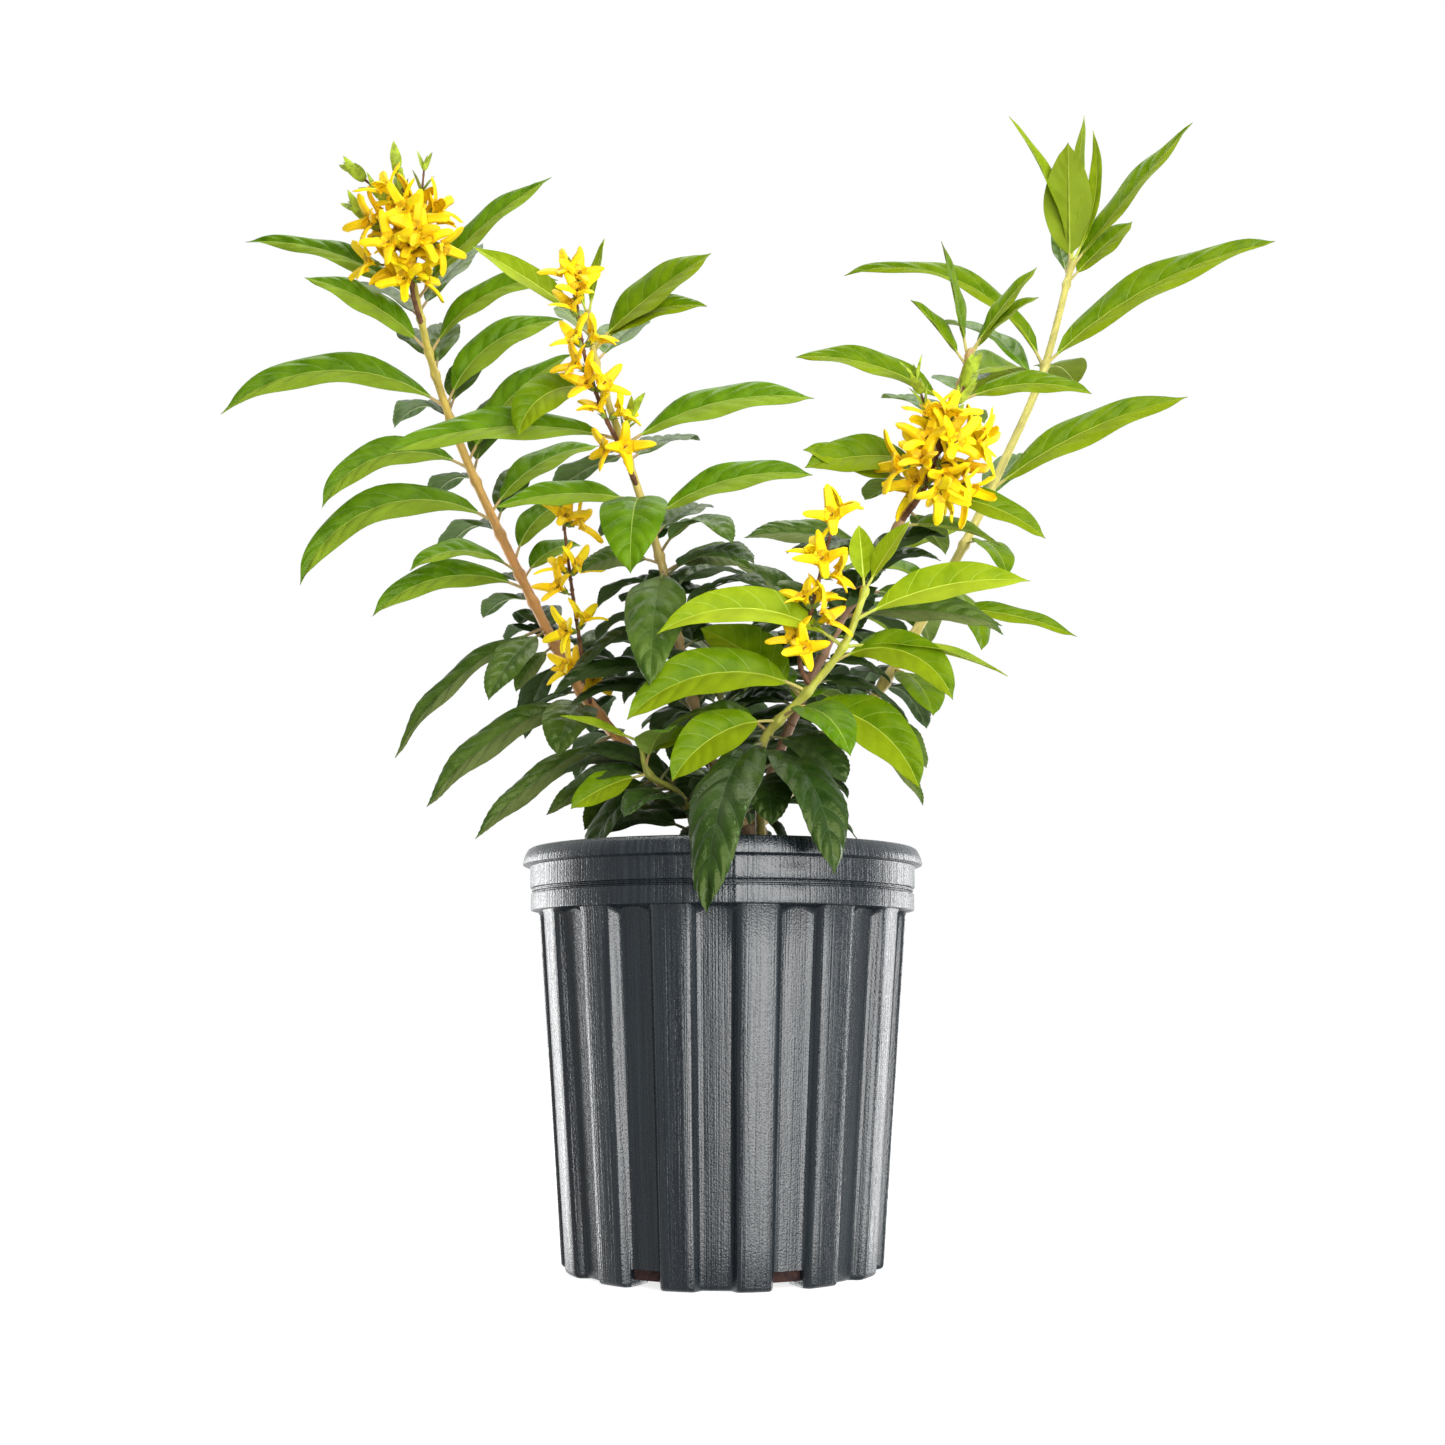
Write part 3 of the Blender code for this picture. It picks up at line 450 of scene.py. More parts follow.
def cut(thing, points, faces):
    cutter = make_mesh("cutter", points, faces)
    modifier = thing.modifiers.new("cut", "BOOLEAN")
    modifier.operation = "DIFFERENCE"
    modifier.object = cutter
    bpy.context.view_layer.update()
    result = bpy.data.meshes.new_from_object(thing.evaluated_get(bpy.context.evaluated_depsgraph_get()))
    thing.modifiers.clear()
    thing.data = result
    bpy.data.objects.remove(cutter, do_unlink=True)

def out_and_side(angle):
    """Level directions away from the pot's axis and round it, at an angle in radians."""
    return Vector((cos(angle), sin(angle), 0.0)), Vector((-sin(angle), cos(angle), 0.0))

def drain_places():
    places = []
    for slot in range(DRAIN_COUNT):
        out, side = out_and_side(radians(-90.0 + RIB_PHASE + (slot + 0.25) * 720.0 / RIB_COUNT))
        centre = out * (INNER_FLOOR_RADIUS - DRAIN_REACH / 3.0)
        places.append((centre, (out, side, UP), (DRAIN_REACH, DRAIN_WIDTH / 2, DRAIN_RISE)))
    return places

def nick_shape():
    out, side = out_and_side(radians(SEAM_ANGLES[0]))
    across, inward, upright = NICK_SIZE
    middle = out * (recess_radius(NICK_HEIGHT) + NICK_OUT) + UP * NICK_HEIGHT
    ring = []
    for k in range(NICK_SIDES):
        turn = tau * k / NICK_SIDES
        ring.append(middle + side * cos(turn) * across - out * sin(turn) * inward)
    return skin_rings([ring[::-1]], middle - UP * upright, middle + UP * upright)

cut(pot, *boxes_at(drain_places()))
cut(pot, *nick_shape())
pot.data.shade_smooth()
pot.data.set_sharp_from_angle(angle=radians(POT_SHARP))
print("pot faces after the cuts:", len(pot.data.polygons))

# %% [markdown]
# ## The pot's finish
#
# Recycled black plastic looks dark blue-grey. Pulled from the mould it shows fine upright
# lines and a speckled gloss. The lines are a noise laid round the pot: sideways places are
# divided by the distance from the axis, so a line follows the leaning wall from foot to rim.
# It changes the roughness most, so the long highlights break up as on the real pot.

# %% Black moulded plastic
PLASTIC_ROUGHNESS = ((0.42, 0.11), (0.58, 0.38))  # glossy where lines and speckle are low
LINES_AROUND = 105.0
LINE_DRIFT = 0.12
LINE_COLOURS = ((0.4, (0.001, 0.003, 0.005)), (0.7, (0.02, 0.03, 0.035)))
LINE_SHARE = 0.4  # how much of the colour is the lines', the rest is dust
LINE_DEPTH = 0.28
SPECKLE = 1200.0
SPECKLE_DEPTH = 0.2
DUST = 18.0
DUST_COLOURS = ((0.42, (0.002, 0.005, 0.009)), (0.72, (0.008, 0.014, 0.019)))

def black_plastic():
    finish = Finish("black moulded plastic", (0.01, 0.013, 0.017), 0.26, Specular_IOR_Level=0.95)
    sides = finish.node("ShaderNodeSeparateXYZ")
    finish.link(finish.place(), sides.inputs[0])
    flat = finish.node("ShaderNodeCombineXYZ")
    finish.link(sides.outputs["X"], flat.inputs["X"])
    finish.link(sides.outputs["Y"], flat.inputs["Y"])
    around = finish.node("ShaderNodeVectorMath", operation="NORMALIZE")
    finish.link(flat.outputs[0], around.inputs[0])
    slow = finish.node("ShaderNodeVectorMath", operation="MULTIPLY_ADD")
    finish.link(finish.place(), slow.inputs[0])
    slow.inputs[1].default_value = (0.0, 0.0, LINE_DRIFT)
    finish.link(around.outputs[0], slow.inputs[2])
    lines = finish.noise(LINES_AROUND, 2.0, place=slow.outputs[0])
    speckle = finish.noise(SPECKLE, 2.0)
    finish.roughness(finish.ramp(finish.mix(0.5, lines, speckle), *PLASTIC_ROUGHNESS))
    dust = finish.ramp(finish.noise(DUST, 3.0, (1.0, 1.0, 0.5)), *DUST_COLOURS)
    finish.colour(finish.mix(LINE_SHARE, dust, finish.ramp(lines, *LINE_COLOURS)))
    finish.bump(lines, LINE_DEPTH)
    finish.bump(speckle, SPECKLE_DEPTH)
    return finish.material

pot.data.materials.clear()
pot.data.materials.append(black_plastic())
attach(pot, "root")
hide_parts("pot")
print("pot finished")

# %% [markdown]
# ## Potting mix
#
# The mix is damp bark and peat in small crumbs, with white grains among them. A disc whose
# points are raised by noise makes the bed, and a few thousand crumbs lie on it. Every crumb
# is a tiny rough lump, and all of a kind are joined into one mesh, which is light to handle.

# %% Bed of mix
MIX_TOP = 183.7
MIX_EDGE_TOP = 180.5
MIX_GAP = 0.6
MIX_BOTTOM = FLOOR + 0.3
MIX_RINGS = 44
MIX_AROUND = 120
MIX_ROUGHNESS = 1.3  # how far the crumbs stand over and under the bed
MIX_LUMPS = ((0.11, 0.0, 1.1), (0.5, 4.0, 0.7))  # how close, layer of the noise, how high
MIX_FLAT = 29.0

def pot_inner_radius(height):
    (low_radius, low), (high_radius, high) = RIM[-1], RIM[-3]
    return between(low_radius, high_radius, (height - low) / (high - low))

MIX_EDGE = pot_inner_radius(MIX_EDGE_TOP)

def mix_height(x, y):
    """Height of the bed: flat at the shrub, lower at the wall, and lumpy."""
    level = between(MIX_TOP, MIX_EDGE_TOP, share_between(hypot(x, y), MIX_FLAT, MIX_EDGE))
    lumps = sum(noise.noise((x * close, y * close, layer)) * high for close, layer, high in MIX_LUMPS)
    return level + lumps * MIX_ROUGHNESS

def circle_points(radius):
    turn = tau / MIX_AROUND
    return [(radius * cos(turn * i), radius * sin(turn * i)) for i in range(MIX_AROUND)]

def bed_of_mix():
    shoulder, height = RIM[-1]
    rings = [[(x, y, MIX_BOTTOM) for x, y in circle_points(INNER_FLOOR_RADIUS - MIX_GAP)],
             [(x, y, height) for x, y in circle_points(shoulder - MIX_GAP)]]
    for k in range(MIX_RINGS):
        reach = (MIX_EDGE - MIX_GAP) * (1.0 - k / MIX_RINGS)
        rings.append([(x, y, mix_height(x, y)) for x, y in circle_points(reach)])
    return skin_rings(rings, (0.0, 0.0, MIX_BOTTOM), (0.0, 0.0, mix_height(0.0, 0.0)))

bed = make_mesh("mix_bed", *bed_of_mix())
bed.data.shade_smooth()
print("mix bed faces:", len(bed.data.polygons))

# %% [markdown]
# A lump is an octahedron with its corners pushed in and out at random, flattened and turned.
# Bark crumbs are long and flat, the white grains are round. The draws are seeded, so the
# same lumps come out every time.

# %% Crumbs and white grains
CRUMBS = dict(name="mix_crumbs", count=5200, sizes=(0.7, 2.2), longer=1.5, flatter=0.6, finishes=3)
GRAINS = dict(name="mix_grains", count=260, sizes=(0.5, 1.5), longer=1.1, flatter=0.9, finishes=1)
LUMP_POINTS = [(1, 0, 0), (0, 1, 0), (-1, 0, 0), (0, -1, 0), (0, 0, 1), (0, 0, -1)]
LUMP_FACES = [(0, 1, 4), (1, 2, 4), (2, 3, 4), (3, 0, 4), (1, 0, 5), (2, 1, 5), (3, 2, 5), (0, 3, 5)]
LUMP_TILT = (-0.5, 0.5)
LUMP_LIES = (-0.1, 0.5)  # how high its middle lies over the bed, as a share of its height
LUMP_ROUGH = (0.7, 1.2)
SHRUB_PLACE = (9.0, 0.0)  # where the shrub's foot enters the mix
SHRUB_ROOM = 13.0

class Heap:
    """Points, faces and finishes that are gathered into one joined mesh."""

    def __init__(self):
        self.points = []
        self.faces = []
        self.finishes = []

    def add(self, points, faces, finish=0):
        """Add a piece in one finish, given by its number, or with a number for each face."""
        first = len(self.points)
        self.points += points
        self.faces += [tuple(first + i for i in face) for face in faces]
        self.finishes += [finish] * len(faces) if isinstance(finish, int) else finish

    def build(self, name, materials, smooth=True):
        thing = make_mesh(name, self.points, self.faces)
        for material in materials:
            thing.data.materials.append(material)
        thing.data.polygons.foreach_set("material_index", self.finishes)
        thing.data.polygons.foreach_set("use_smooth", [smooth] * len(self.faces))
        thing.data.update()
        return thing

def scatter_lumps(name, count, sizes, longer, flatter, finishes):
    draw = random.Random(name)
    heap = Heap()
    edge = MIX_EDGE - MIX_GAP
    while len(heap.points) < count * len(LUMP_POINTS):
        reach, turn = edge * sqrt(draw.random()), draw.uniform(0.0, tau)
        x, y = reach * cos(turn), reach * sin(turn)
        size = draw.uniform(*sizes)
        if reach + size * longer > edge or dist((x, y), SHRUB_PLACE) < SHRUB_ROOM:
            continue
        spin = draw.uniform(0.0, tau)
        tilt = draw.uniform(*LUMP_TILT)
        centre = Vector((x, y, mix_height(x, y) + size * flatter * draw.uniform(*LUMP_LIES)))
        points = []
        for corner in LUMP_POINTS:
            rough = draw.uniform(*LUMP_ROUGH) * size
            along, across, up = corner[0] * longer * rough, corner[1] * rough, corner[2] * flatter * rough
            points.append((centre.x + along * cos(spin) - across * sin(spin),
                           centre.y + along * sin(spin) + across * cos(spin),
                           centre.z + up + along * tilt))
        heap.add(points, LUMP_FACES, draw.randrange(finishes))
    return heap

print("one lump:", len(LUMP_POINTS), "points and", len(LUMP_FACES), "faces")

# %% Mix finishes
BED_COLOUR = ((0.03, 0.013, 0.012), (0.085, 0.036, 0.03))
CRUMB_COLOURS = [((0.045, 0.018, 0.016), (0.105, 0.044, 0.036)),
                 ((0.085, 0.038, 0.028), (0.17, 0.082, 0.058)),
                 ((0.024, 0.011, 0.011), (0.06, 0.027, 0.024))]
GRAIN_COLOUR = ((0.62, 0.59, 0.56), (0.86, 0.84, 0.81))

def mix_finish(name, dark, light):
    finish = Finish(name, dark, 0.92)
    finish.colour(finish.ramp(finish.noise(420.0), (0.35, dark), (0.68, light)))
    finish.bump(finish.noise(1500.0), 0.25)
    return finish.material

bed.data.materials.append(mix_finish("mix bed", *BED_COLOUR))
crumb_finishes = [mix_finish("bark crumb %d" % k, *pair) for k, pair in enumerate(CRUMB_COLOURS)]
crumbs = scatter_lumps(**CRUMBS).build("mix_crumbs", crumb_finishes, smooth=False)
grains = scatter_lumps(**GRAINS).build("mix_grains", [mix_finish("white grain", *GRAIN_COLOUR)], smooth=False)
for piece in (bed, crumbs, grains):
    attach(piece, "root")
    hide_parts("potting_mix")
print("crumbs and grains:", CRUMBS["count"], GRAINS["count"])

# %% [markdown]
# ## Canes and bark
#
# Four canes rise from a short woody foot, and three low shoots come straight from the mix.
# Each has a route of a few points. A smooth curve runs through them, and the bark is a fine
# tube round that curve. Real bark is not a plain tube: it swells at every pair of leaves,
# and small pores stand out of it as warts. Both are added to the tube's radius.

# %% Routes of the canes
CANES = {  # the radius is that of its lower and upper end, the bough is its bare lower part
    "left": dict(
        route=[(8, 0, 212.3), (4, 2, 219), (-11, 8, 227), (-38, 19, 243), (-72, 32, 283),
               (-96, 42, 326), (-138, 56, 413), (-162, 65, 476), (-177, 71, 535)],
        radius=(3.2, 1.9), bough_top=229),
    "centre": dict(
        route=[(10, -8.5, 212.3), (-4, -14, 240), (-18, -18, 285), (-29, -24, 336),
               (-44, -40, 382), (-61, -51, 431), (-66, -55, 460)],
        radius=(2.8, 1.5), bough_top=252),
    "right": dict(
        route=[(18, -7, 212.3), (27, -6, 245), (54, -12, 305), (91, -24, 366), (111, -31, 407),
               (124, -37, 447)],
        radius=(2.8, 1.6), bough_top=262),
    "far": dict(
        route=[(17, 2.5, 212.3), (45, 25, 244), (83, 42, 288), (129, 70, 366), (156, 82, 420),
               (184, 92, 482), (205, 101, 553)],
        radius=(3.2, 1.9), bough_top=256),
    "low_right": dict(
        route=[(20, -23, 184), (18, -36, 215), (19, -50, 247), (39, -60, 269), (57, -68, 291),
               (67, -74, 317)],
        radius=(2.7, 1.5), bough_top=None),
    "low_left": dict(
        route=[(-10, -17, 184), (-18, -34, 221), (-35, -44, 233), (-39, -48, 249)],
        radius=(2.0, 1.2), bough_top=None),
    "low_back": dict(
        route=[(4, 18, 184), (6, 44, 230), (0, 72, 282), (-5, 90, 322)],
        radius=(2.6, 1.4), bough_top=None),
}
END_CLEAR = 1.0  # a point of a line that is nearer in height than this to a cut end is dropped

def smooth_route(route, per_span=8):
    knots = [Vector(point) for point in route]
    knots = [knots[0] * 2 - knots[1]] + knots + [knots[-1] * 2 - knots[-2]]
    line = []
    for i in range(1, len(knots) - 2):
        before, here, there, after = knots[i - 1:i + 3]
        for step in range(per_span):
            t = step / per_span
            line.append(0.5 * (2 * here + (there - before) * t
                               + (2 * before - 5 * here + 4 * there - after) * t * t
                               + (3 * here - before - 3 * there + after) * t ** 3))
    line.append(knots[-2])
    return line

def point_at_height(line, height):
    for low, high in zip(line[:-1], line[1:]):
        if low.z <= height <= high.z:
            return low.lerp(high, (height - low.z) / (high.z - low.z))
    return line[-1].copy() if height > line[-1].z else line[0].copy()

def part_of_line(line, low, high):
    """The stretch of a rising line between two heights."""
    middle = [point for point in line if low + END_CLEAR < point.z < high - END_CLEAR]
    return [point_at_height(line, low)] + middle + [point_at_height(line, high)]

def cane_radius(name, height):
    line = lines[name]
    return between(*CANES[name]["radius"], share_between(height, line[0].z, line[-1].z))

lines = {name: smooth_route(cane["route"]) for name, cane in CANES.items()}
for name, line in lines.items():
    print(name, "cane:", round(sum((a - b).length for a, b in zip(line[:-1], line[1:]))), "mm long")

# %% [markdown]
# ## Where every leaf grows
#
# The leaves that show from the front are listed one by one. Each row is one leaf: the height where
# its stalk leaves the cane, the way it points, how steeply it rises, how far it bends down
# to its tip, its length, how far its upper side is turned to the viewer, and its width.

# %% Leaf rows
LEAVES = {
    "left": [
        (516, -10, 55, 28, 104, 65, 20), (514, 170, 45, 44, 118, 60, 17),
        (484, 195, 48, 40, 80, 65, 22), (482, -10, 66, 76, 90, 65, 20),
        (450, 190, 37, 84, 133, 68, 22), (450, 10, 76, 70, 91, 65, 22),
        (413, 195, 31, 100, 95, 65, 20), (417, 15, 70, 40, 91, 50, 22),
        (382, 190, 33, 108, 127, 68, 22), (387, 30, 62, 50, 84, 50, 20),
        (343, 195, 25, 76, 90, 65, 19), (352, 215, 34, 80, 70, 55, 17),
        (358, 40, 80, 65, 60, 50, 18), (348, 40, 65, 60, 48, 50, 16),
        (322, 190, -22, 42, 108, 45, 17), (320, 235, -24, 40, 64, 45, 20),
        (312, 215, -35, 30, 36, 45, 12), (282, 195, -15, 42, 103, 55, 20),
        (262, 205, -25, 25, 94, 50, 15), (249, 205, -25, 15, 58, 45, 14),
        (238, 215, -15, 35, 54, 60, 22), (276, 250, 10, 90, 58, 50, 26),
    ],
    "centre": [
        (454, 185, 38, 10, 69, 60, 16), (456, 200, 70, 10, 37, 50, 9),
        (457, 350, 82, 5, 41, 50, 9), (442, -10, 44, 14, 74, 60, 26),
        (440, -10, 50, 62, 63, 60, 18), (420, 205, 18, 100, 59, 60, 22),
        (395, -5, 36, 46, 99, 60, 21), (398, 190, 13, 40, 118, 60, 22),
        (360, -5, 40, 50, 87, 60, 19), (369, 185, 14, 35, 73, 60, 17),
        (367, 265, 10, 110, 74, 0, 30), (344, -50, 50, 110, 66, 30, 20),
        (336, -20, 33, 70, 48, 50, 20), (340, 200, 20, 60, 44, 50, 18),
        (336, 266, -16, 66, 94, 0, 27),
    ],
    "right": [
        (442, 200, 80, 5, 62, 50, 18), (444, -10, 58, 12, 56, 50, 11),
        (441, -15, 60, 40, 48, 50, 15), (439, 195, 55, 15, 43, 50, 18),
        (418, 185, 40, 46, 85, 60, 19), (420, -5, 28, 50, 70, 60, 16),
        (391, 190, 12, 34, 66, 60, 25), (380, 190, 22, 15, 62, 55, 23),
        (375, -5, 3, 46, 70, 60, 17), (346, 190, 25, 40, 71, 60, 18),
        (320, 175, 30, 60, 76, 40, 15), (328, 10, 6, 40, 80, 50, 20),
        (430, 40, 45, 70, 68, 40, 30), (360, 20, 15, 40, 60, 40, 20),
        (316, -8, 10, 30, 80, 50, 22), (300, 178, 62, 34, 66, 40, 28),
    ],
    "far": [
        (546, 270, 85, 0, 78, 0, 27), (551, 190, 84, 32, 98, 50, 14),
        (551, 30, 84, 4, 98, 0, 12), (551, -10, 60, -40, 86, 50, 10),
        (548, -10, 52, 5, 112, 50, 19), (538, 10, 50, 10, 60, 50, 19),
        (486, -5, 45, 34, 153, 60, 25), (484, 175, 72, 88, 143, 50, 20),
        (408, -5, 39, 28, 124, 60, 23), (375, -60, 10, 90, 49, 0, 20),
        (279, -15, -35, 25, 46, 50, 18), (300, -60, -10, 60, 48, 0, 26),
        (335, 0, 5, 30, 83, 50, 14), (352, -40, -30, 60, 49, 0, 26),
        (482, 60, 40, 60, 64, 0, 28), (480, 130, 30, 60, 64, 0, 26),
        (385, 200, 0, 40, 50, 40, 22), (264, -30, -15, 55, 62, 40, 12),
    ],
    "low_right": [
        (290, 190, 40, 76, 95, 60, 22), (270, 195, 27, 76, 95, 65, 26),
        (257, 205, 0, 60, 66, 60, 24), (263, -20, 5, 78, 79, 60, 26),
        (282, -20, 34, 106, 71, 60, 22), (302, -5, 31, 38, 85, 60, 22),
        (290, -10, 6, 36, 79, 20, 14), (315, -10, 62, 10, 40, 50, 14),
        (315, 100, 78, 5, 36, 50, 12), (268, 165, 45, 20, 62, 60, 28),
        (247, 250, -8, 80, 122, 0, 28), (243, 297, 0, 85, 101, 0, 27),
        (250, -30, -5, 50, 50, 30, 24),
    ],
    "low_left": [
        (248, 190, 22, 10, 40, 30, 10), (233, 195, -10, 30, 42, 55, 17),
        (243, -20, 25, 20, 28, 50, 16),
    ],
    "low_back": [],
}
print("leaves placed by hand:", sum(len(rows) for rows in LEAVES.values()))

# %% [markdown]
# The leaves nobody sees from the front follow a rule. Forsythia leaves grow in pairs, so
# each long leaf in front gets a partner behind, and the dense foot of the bush is filled by
# seeded draws. A leaf with no room is moved and turned a little, and tried again.

# %% Leaves by rule
BEHIND = {"left": 330, "centre": 356, "right": 350, "far": 370}  # from this height on
BEHIND_OF = (-40, 220)  # only leaves that turn within this have one behind them
BEHIND_TURN = 0.28  # how far it follows the front one's turn, droop and so on
BEHIND_DROOP = 0.55
BEHIND_FACE = 0.3
BEHIND_LENGTH = 0.84
BEHIND_DROP = 7.0
BEHIND_SHORTEST = 66.0
FILL = {  # first and last height, how many, turns, length below and above, width
    "left": (256, 306, 4, 70, 130, 84, 78, 21),
    "centre": (258, 352, 20, -20, 220, 78, 60, 22),
    "right": (268, 344, 10, 20, 190, 76, 62, 21),
    "far": (266, 346, 7, 60, 170, 80, 66, 21),
    "low_right": (234, 270, 5, 20, 200, 66, 58, 22),
    "low_left": (206, 240, 6, 150, 380, 66, 50, 20),
    "low_back": (206, 318, 18, -10, 200, 88, 64, 22),
}
FILL_RISE = (34, 50)
FILL_DROOP = (84, 70)
FILL_FACE = 30
LEAF_TRIES = 14
TRY_HEIGHT = 5.0
TRY_TURN = 30.0
TRY_RISE = 18.0
TRY_SHORTER = 0.8

def behind_rows(name):
    """A leaf behind each long leaf in front, turned away from the viewer."""
    rows = []
    for height, turn, rise, droop, length, face, width in LEAVES[name]:
        in_reach = height >= BEHIND.get(name, inf) and BEHIND_OF[0] < turn < BEHIND_OF[1]
        if in_reach and length >= BEHIND_SHORTEST:
            turn = 90.0 + (turn - 90.0) * BEHIND_TURN
            rows.append((height - BEHIND_DROP, turn, rise, droop * BEHIND_DROOP,
                         length * BEHIND_LENGTH, face * BEHIND_FACE, width))
    return rows

def fill_rows(name):
    first, last, count, turn_low, turn_high, low_length, high_length, width = FILL[name]
    draw = random.Random("fill " + name)
    rows = []
    for k in range(count):
        share = k / (count - 1)
        rows.append((between(first, last, share), draw.uniform(turn_low, turn_high),
                     between(*FILL_RISE, share), between(*FILL_DROOP, share),
                     between(low_length, high_length, share), FILL_FACE, width))
    return rows

def varied(row, draw):
    """The same leaf, moved and turned a little."""
    height, turn, rise, droop, length, face, width = row
    return (height + draw.uniform(-TRY_HEIGHT, TRY_HEIGHT), turn + draw.uniform(-TRY_TURN, TRY_TURN),
            rise + draw.uniform(-TRY_RISE, TRY_RISE), droop, length * draw.uniform(TRY_SHORTER, 1.0),
            face, width)

print("leaves by rule:", sum(len(behind_rows(name)) + len(fill_rows(name)) for name in CANES))

# %% [markdown]
# ## The shape of one leaf
#
# A leaf leaves its cane at an angle and bends down evenly, so its midrib is an arc. At every
# place along it there is a sideways and an upward direction, and the leaf may be rolled about
# its midrib to show its upper side. The same few functions serve two kinds of leaf: a coarse
# solid that only tests for room, and the fine one that is seen.

# %% Leaf directions
ARCH_STEPS = 48

def way_at(turn, lift):
    """Unit vector for a turn and a lift in degrees."""
    turn, lift = radians(turn), radians(lift)
    return Vector((cos(lift) * cos(turn), cos(lift) * sin(turn), sin(lift)))

def turned(side, other, angle):
    """The direction at an angle from one way towards another, square to it."""
    return side * cos(angle) + other * sin(angle)

def leaf_arch(base, turn, rise, droop, length):
    """Midrib of a leaf: it leaves at the rise and bends down evenly to its tip."""
    points = [Vector(base)]
    for k in range(ARCH_STEPS):
        way = way_at(turn, rise - droop * (k + 0.5) / ARCH_STEPS)
        points.append(points[-1] + way * length / ARCH_STEPS)
    return points, [way_at(turn, rise - droop * k / ARCH_STEPS) for k in range(ARCH_STEPS + 1)]

def leaf_sides(way, turn, face):
    """Sideways and upward directions of a leaf that turns its upper side to the front."""
    heading = radians(turn)
    level = Vector((sin(heading), -cos(heading), 0.0))
    upright = level.cross(way).normalized()
    roll = radians(-face * cos(heading))
    return turned(level, upright, roll), turned(upright, level, -roll)

print("a leaf's arc has", ARCH_STEPS, "steps")

# %% The coarse leaf
STALK = 11.0
STALK_RADIUS = 0.95
FOLD = 22.0
LEAF_BELLY = 0.8  # below 1 the blade is widest past its middle
LEAF_POINTED = 1.15  # above 1 its ends are drawn out
LEAF_THICKNESS = 0.014
LONG_LEAF = 78.0
LONG_BLADE = (0.14, 0.36, 0.62, 0.85)
SHORT_BLADE = (0.2, 0.5, 0.8)
TEST_MARGIN = 0.45

def leaf_half_width(share):
    """Half width of the blade as a share of the widest, along the blade from 0 to 1."""
    return sin(pi * share ** LEAF_BELLY) ** LEAF_POINTED

def leaf_solid(base, row, margin=0.0):
    turn, rise, droop, length, face, width = row[1:]
    points, ways = leaf_arch(base, turn, rise, droop, length)
    blade_shares = LONG_BLADE if length > LONG_LEAF else SHORT_BLADE
    stations = [(0.0, 0.0), (STALK, 0.0)] + [(STALK + (length - STALK) * s, s) for s in blade_shares]
    rings = []
    for distance, share in stations:
        k = round(distance / length * ARCH_STEPS)
        side, up = leaf_sides(ways[k], turn, face)
        half, thick, lift = STALK_RADIUS, STALK_RADIUS, 0.0
        if share > 0.0:
            half, thick = width / 2.0 * leaf_half_width(share), length * LEAF_THICKNESS / 2.0
            lift = radians(FOLD)
        half, thick = half + margin, thick + margin
        out = side * half * cos(lift)
        raised = up * half * sin(lift)
        centre = points[k]
        rings.append([centre + out + raised, centre - up * thick,
                      centre - out + raised, centre + up * thick])
    tip = points[-1] + ways[-1] * margin
    return skin_rings(rings, end_point=tip)

print("a leaf is folded by", FOLD, "degrees on each side of its midrib")

# %% [markdown]
# ## Blossom twigs
#
# Blossom stands in rings round slim brown twigs. A coarse four-pointed star per blossom is
# tried until its petals touch no other, so the flowers don't grow through each other.

# %% Twigs
TWIGS = [
    dict(cane="centre", start=376,
         route=[(-50, -56, 392), (-56, -61, 403), (-61, -65, 416), (-67, -69, 436), (-71, -74, 466)],
         radius=(1.3, 0.7), rings=5, around=2, first=0.18, spread=64),
    dict(cane="left", start=279,
         route=[(-70, 6, 288), (-73, -4, 311), (-77, -8, 338), (-80, -12, 363)],
         radius=(1.3, 0.7), rings=4, around=2, first=0.24, spread=64),
    dict(cane="low_right", start=272,
         route=[(36, -66, 283), (40, -69, 300), (46, -72, 325), (52, -76, 348)],
         radius=(1.3, 0.7), rings=4, around=2, first=0.36, spread=64),
    dict(cane="left", start=500,
         route=[(-173, 60, 515), (-175, 53, 535), (-175, 50, 558)],
         radius=(1.5, 0.9), rings=4, around=4, first=0.46, spread=112),
    dict(cane="right", start=362,
         route=[(98, -34, 373), (103, -41, 384), (107, -47, 396)],
         radius=(1.5, 0.9), rings=3, around=4, first=0.44, spread=112),
]
TWIG_SPAN_STEPS = 3
BUD_SHOOTS = [  # start and end of the shoots at the top of the left cane
    ((-175, 50, 556), (-205, 47, 583)), ((-175, 50, 556), (-182, 50, 586)),
    ((-175, 53, 534), (-202, 48, 560)), ((-173, 59, 520), (-167, 50, 586)),
]
TO_VIEWER = 270.0
BLOSSOM_LIFT = (6.0, 40.0)
BLOSSOM_STAGGER = 14.0
BLOSSOM_LEAN = 30.0
BLOSSOM_SIZE = (0.86, 1.08)

def twig_line(twig):
    start = point_at_height(lines[twig["cane"]], twig["start"])
    return smooth_route([start] + twig["route"], TWIG_SPAN_STEPS)

def place_along(line, share):
    """The place at a share of a line, counted by its points."""
    last = len(line) - 1
    low = min(int(share * last), last - 1)
    return line[low].lerp(line[low + 1], share * last - low)

def blossom_spots(twig, line):
    """Where the blossoms sit on a twig: root, turn and lift of each."""
    spots = []
    for ring in range(twig["rings"]):
        share = twig["first"] + (1.0 - twig["first"]) * ring / (twig["rings"] - 1)
        stagger = BLOSSOM_STAGGER if ring % 2 else -BLOSSOM_STAGGER
        for k in range(twig["around"]):
            middle = (k + 0.5) / twig["around"] - 0.5
            turn = TO_VIEWER + 2.0 * twig["spread"] * middle + stagger
            spots.append((place_along(line, share), turn, between(*BLOSSOM_LIFT, share)))
    return spots

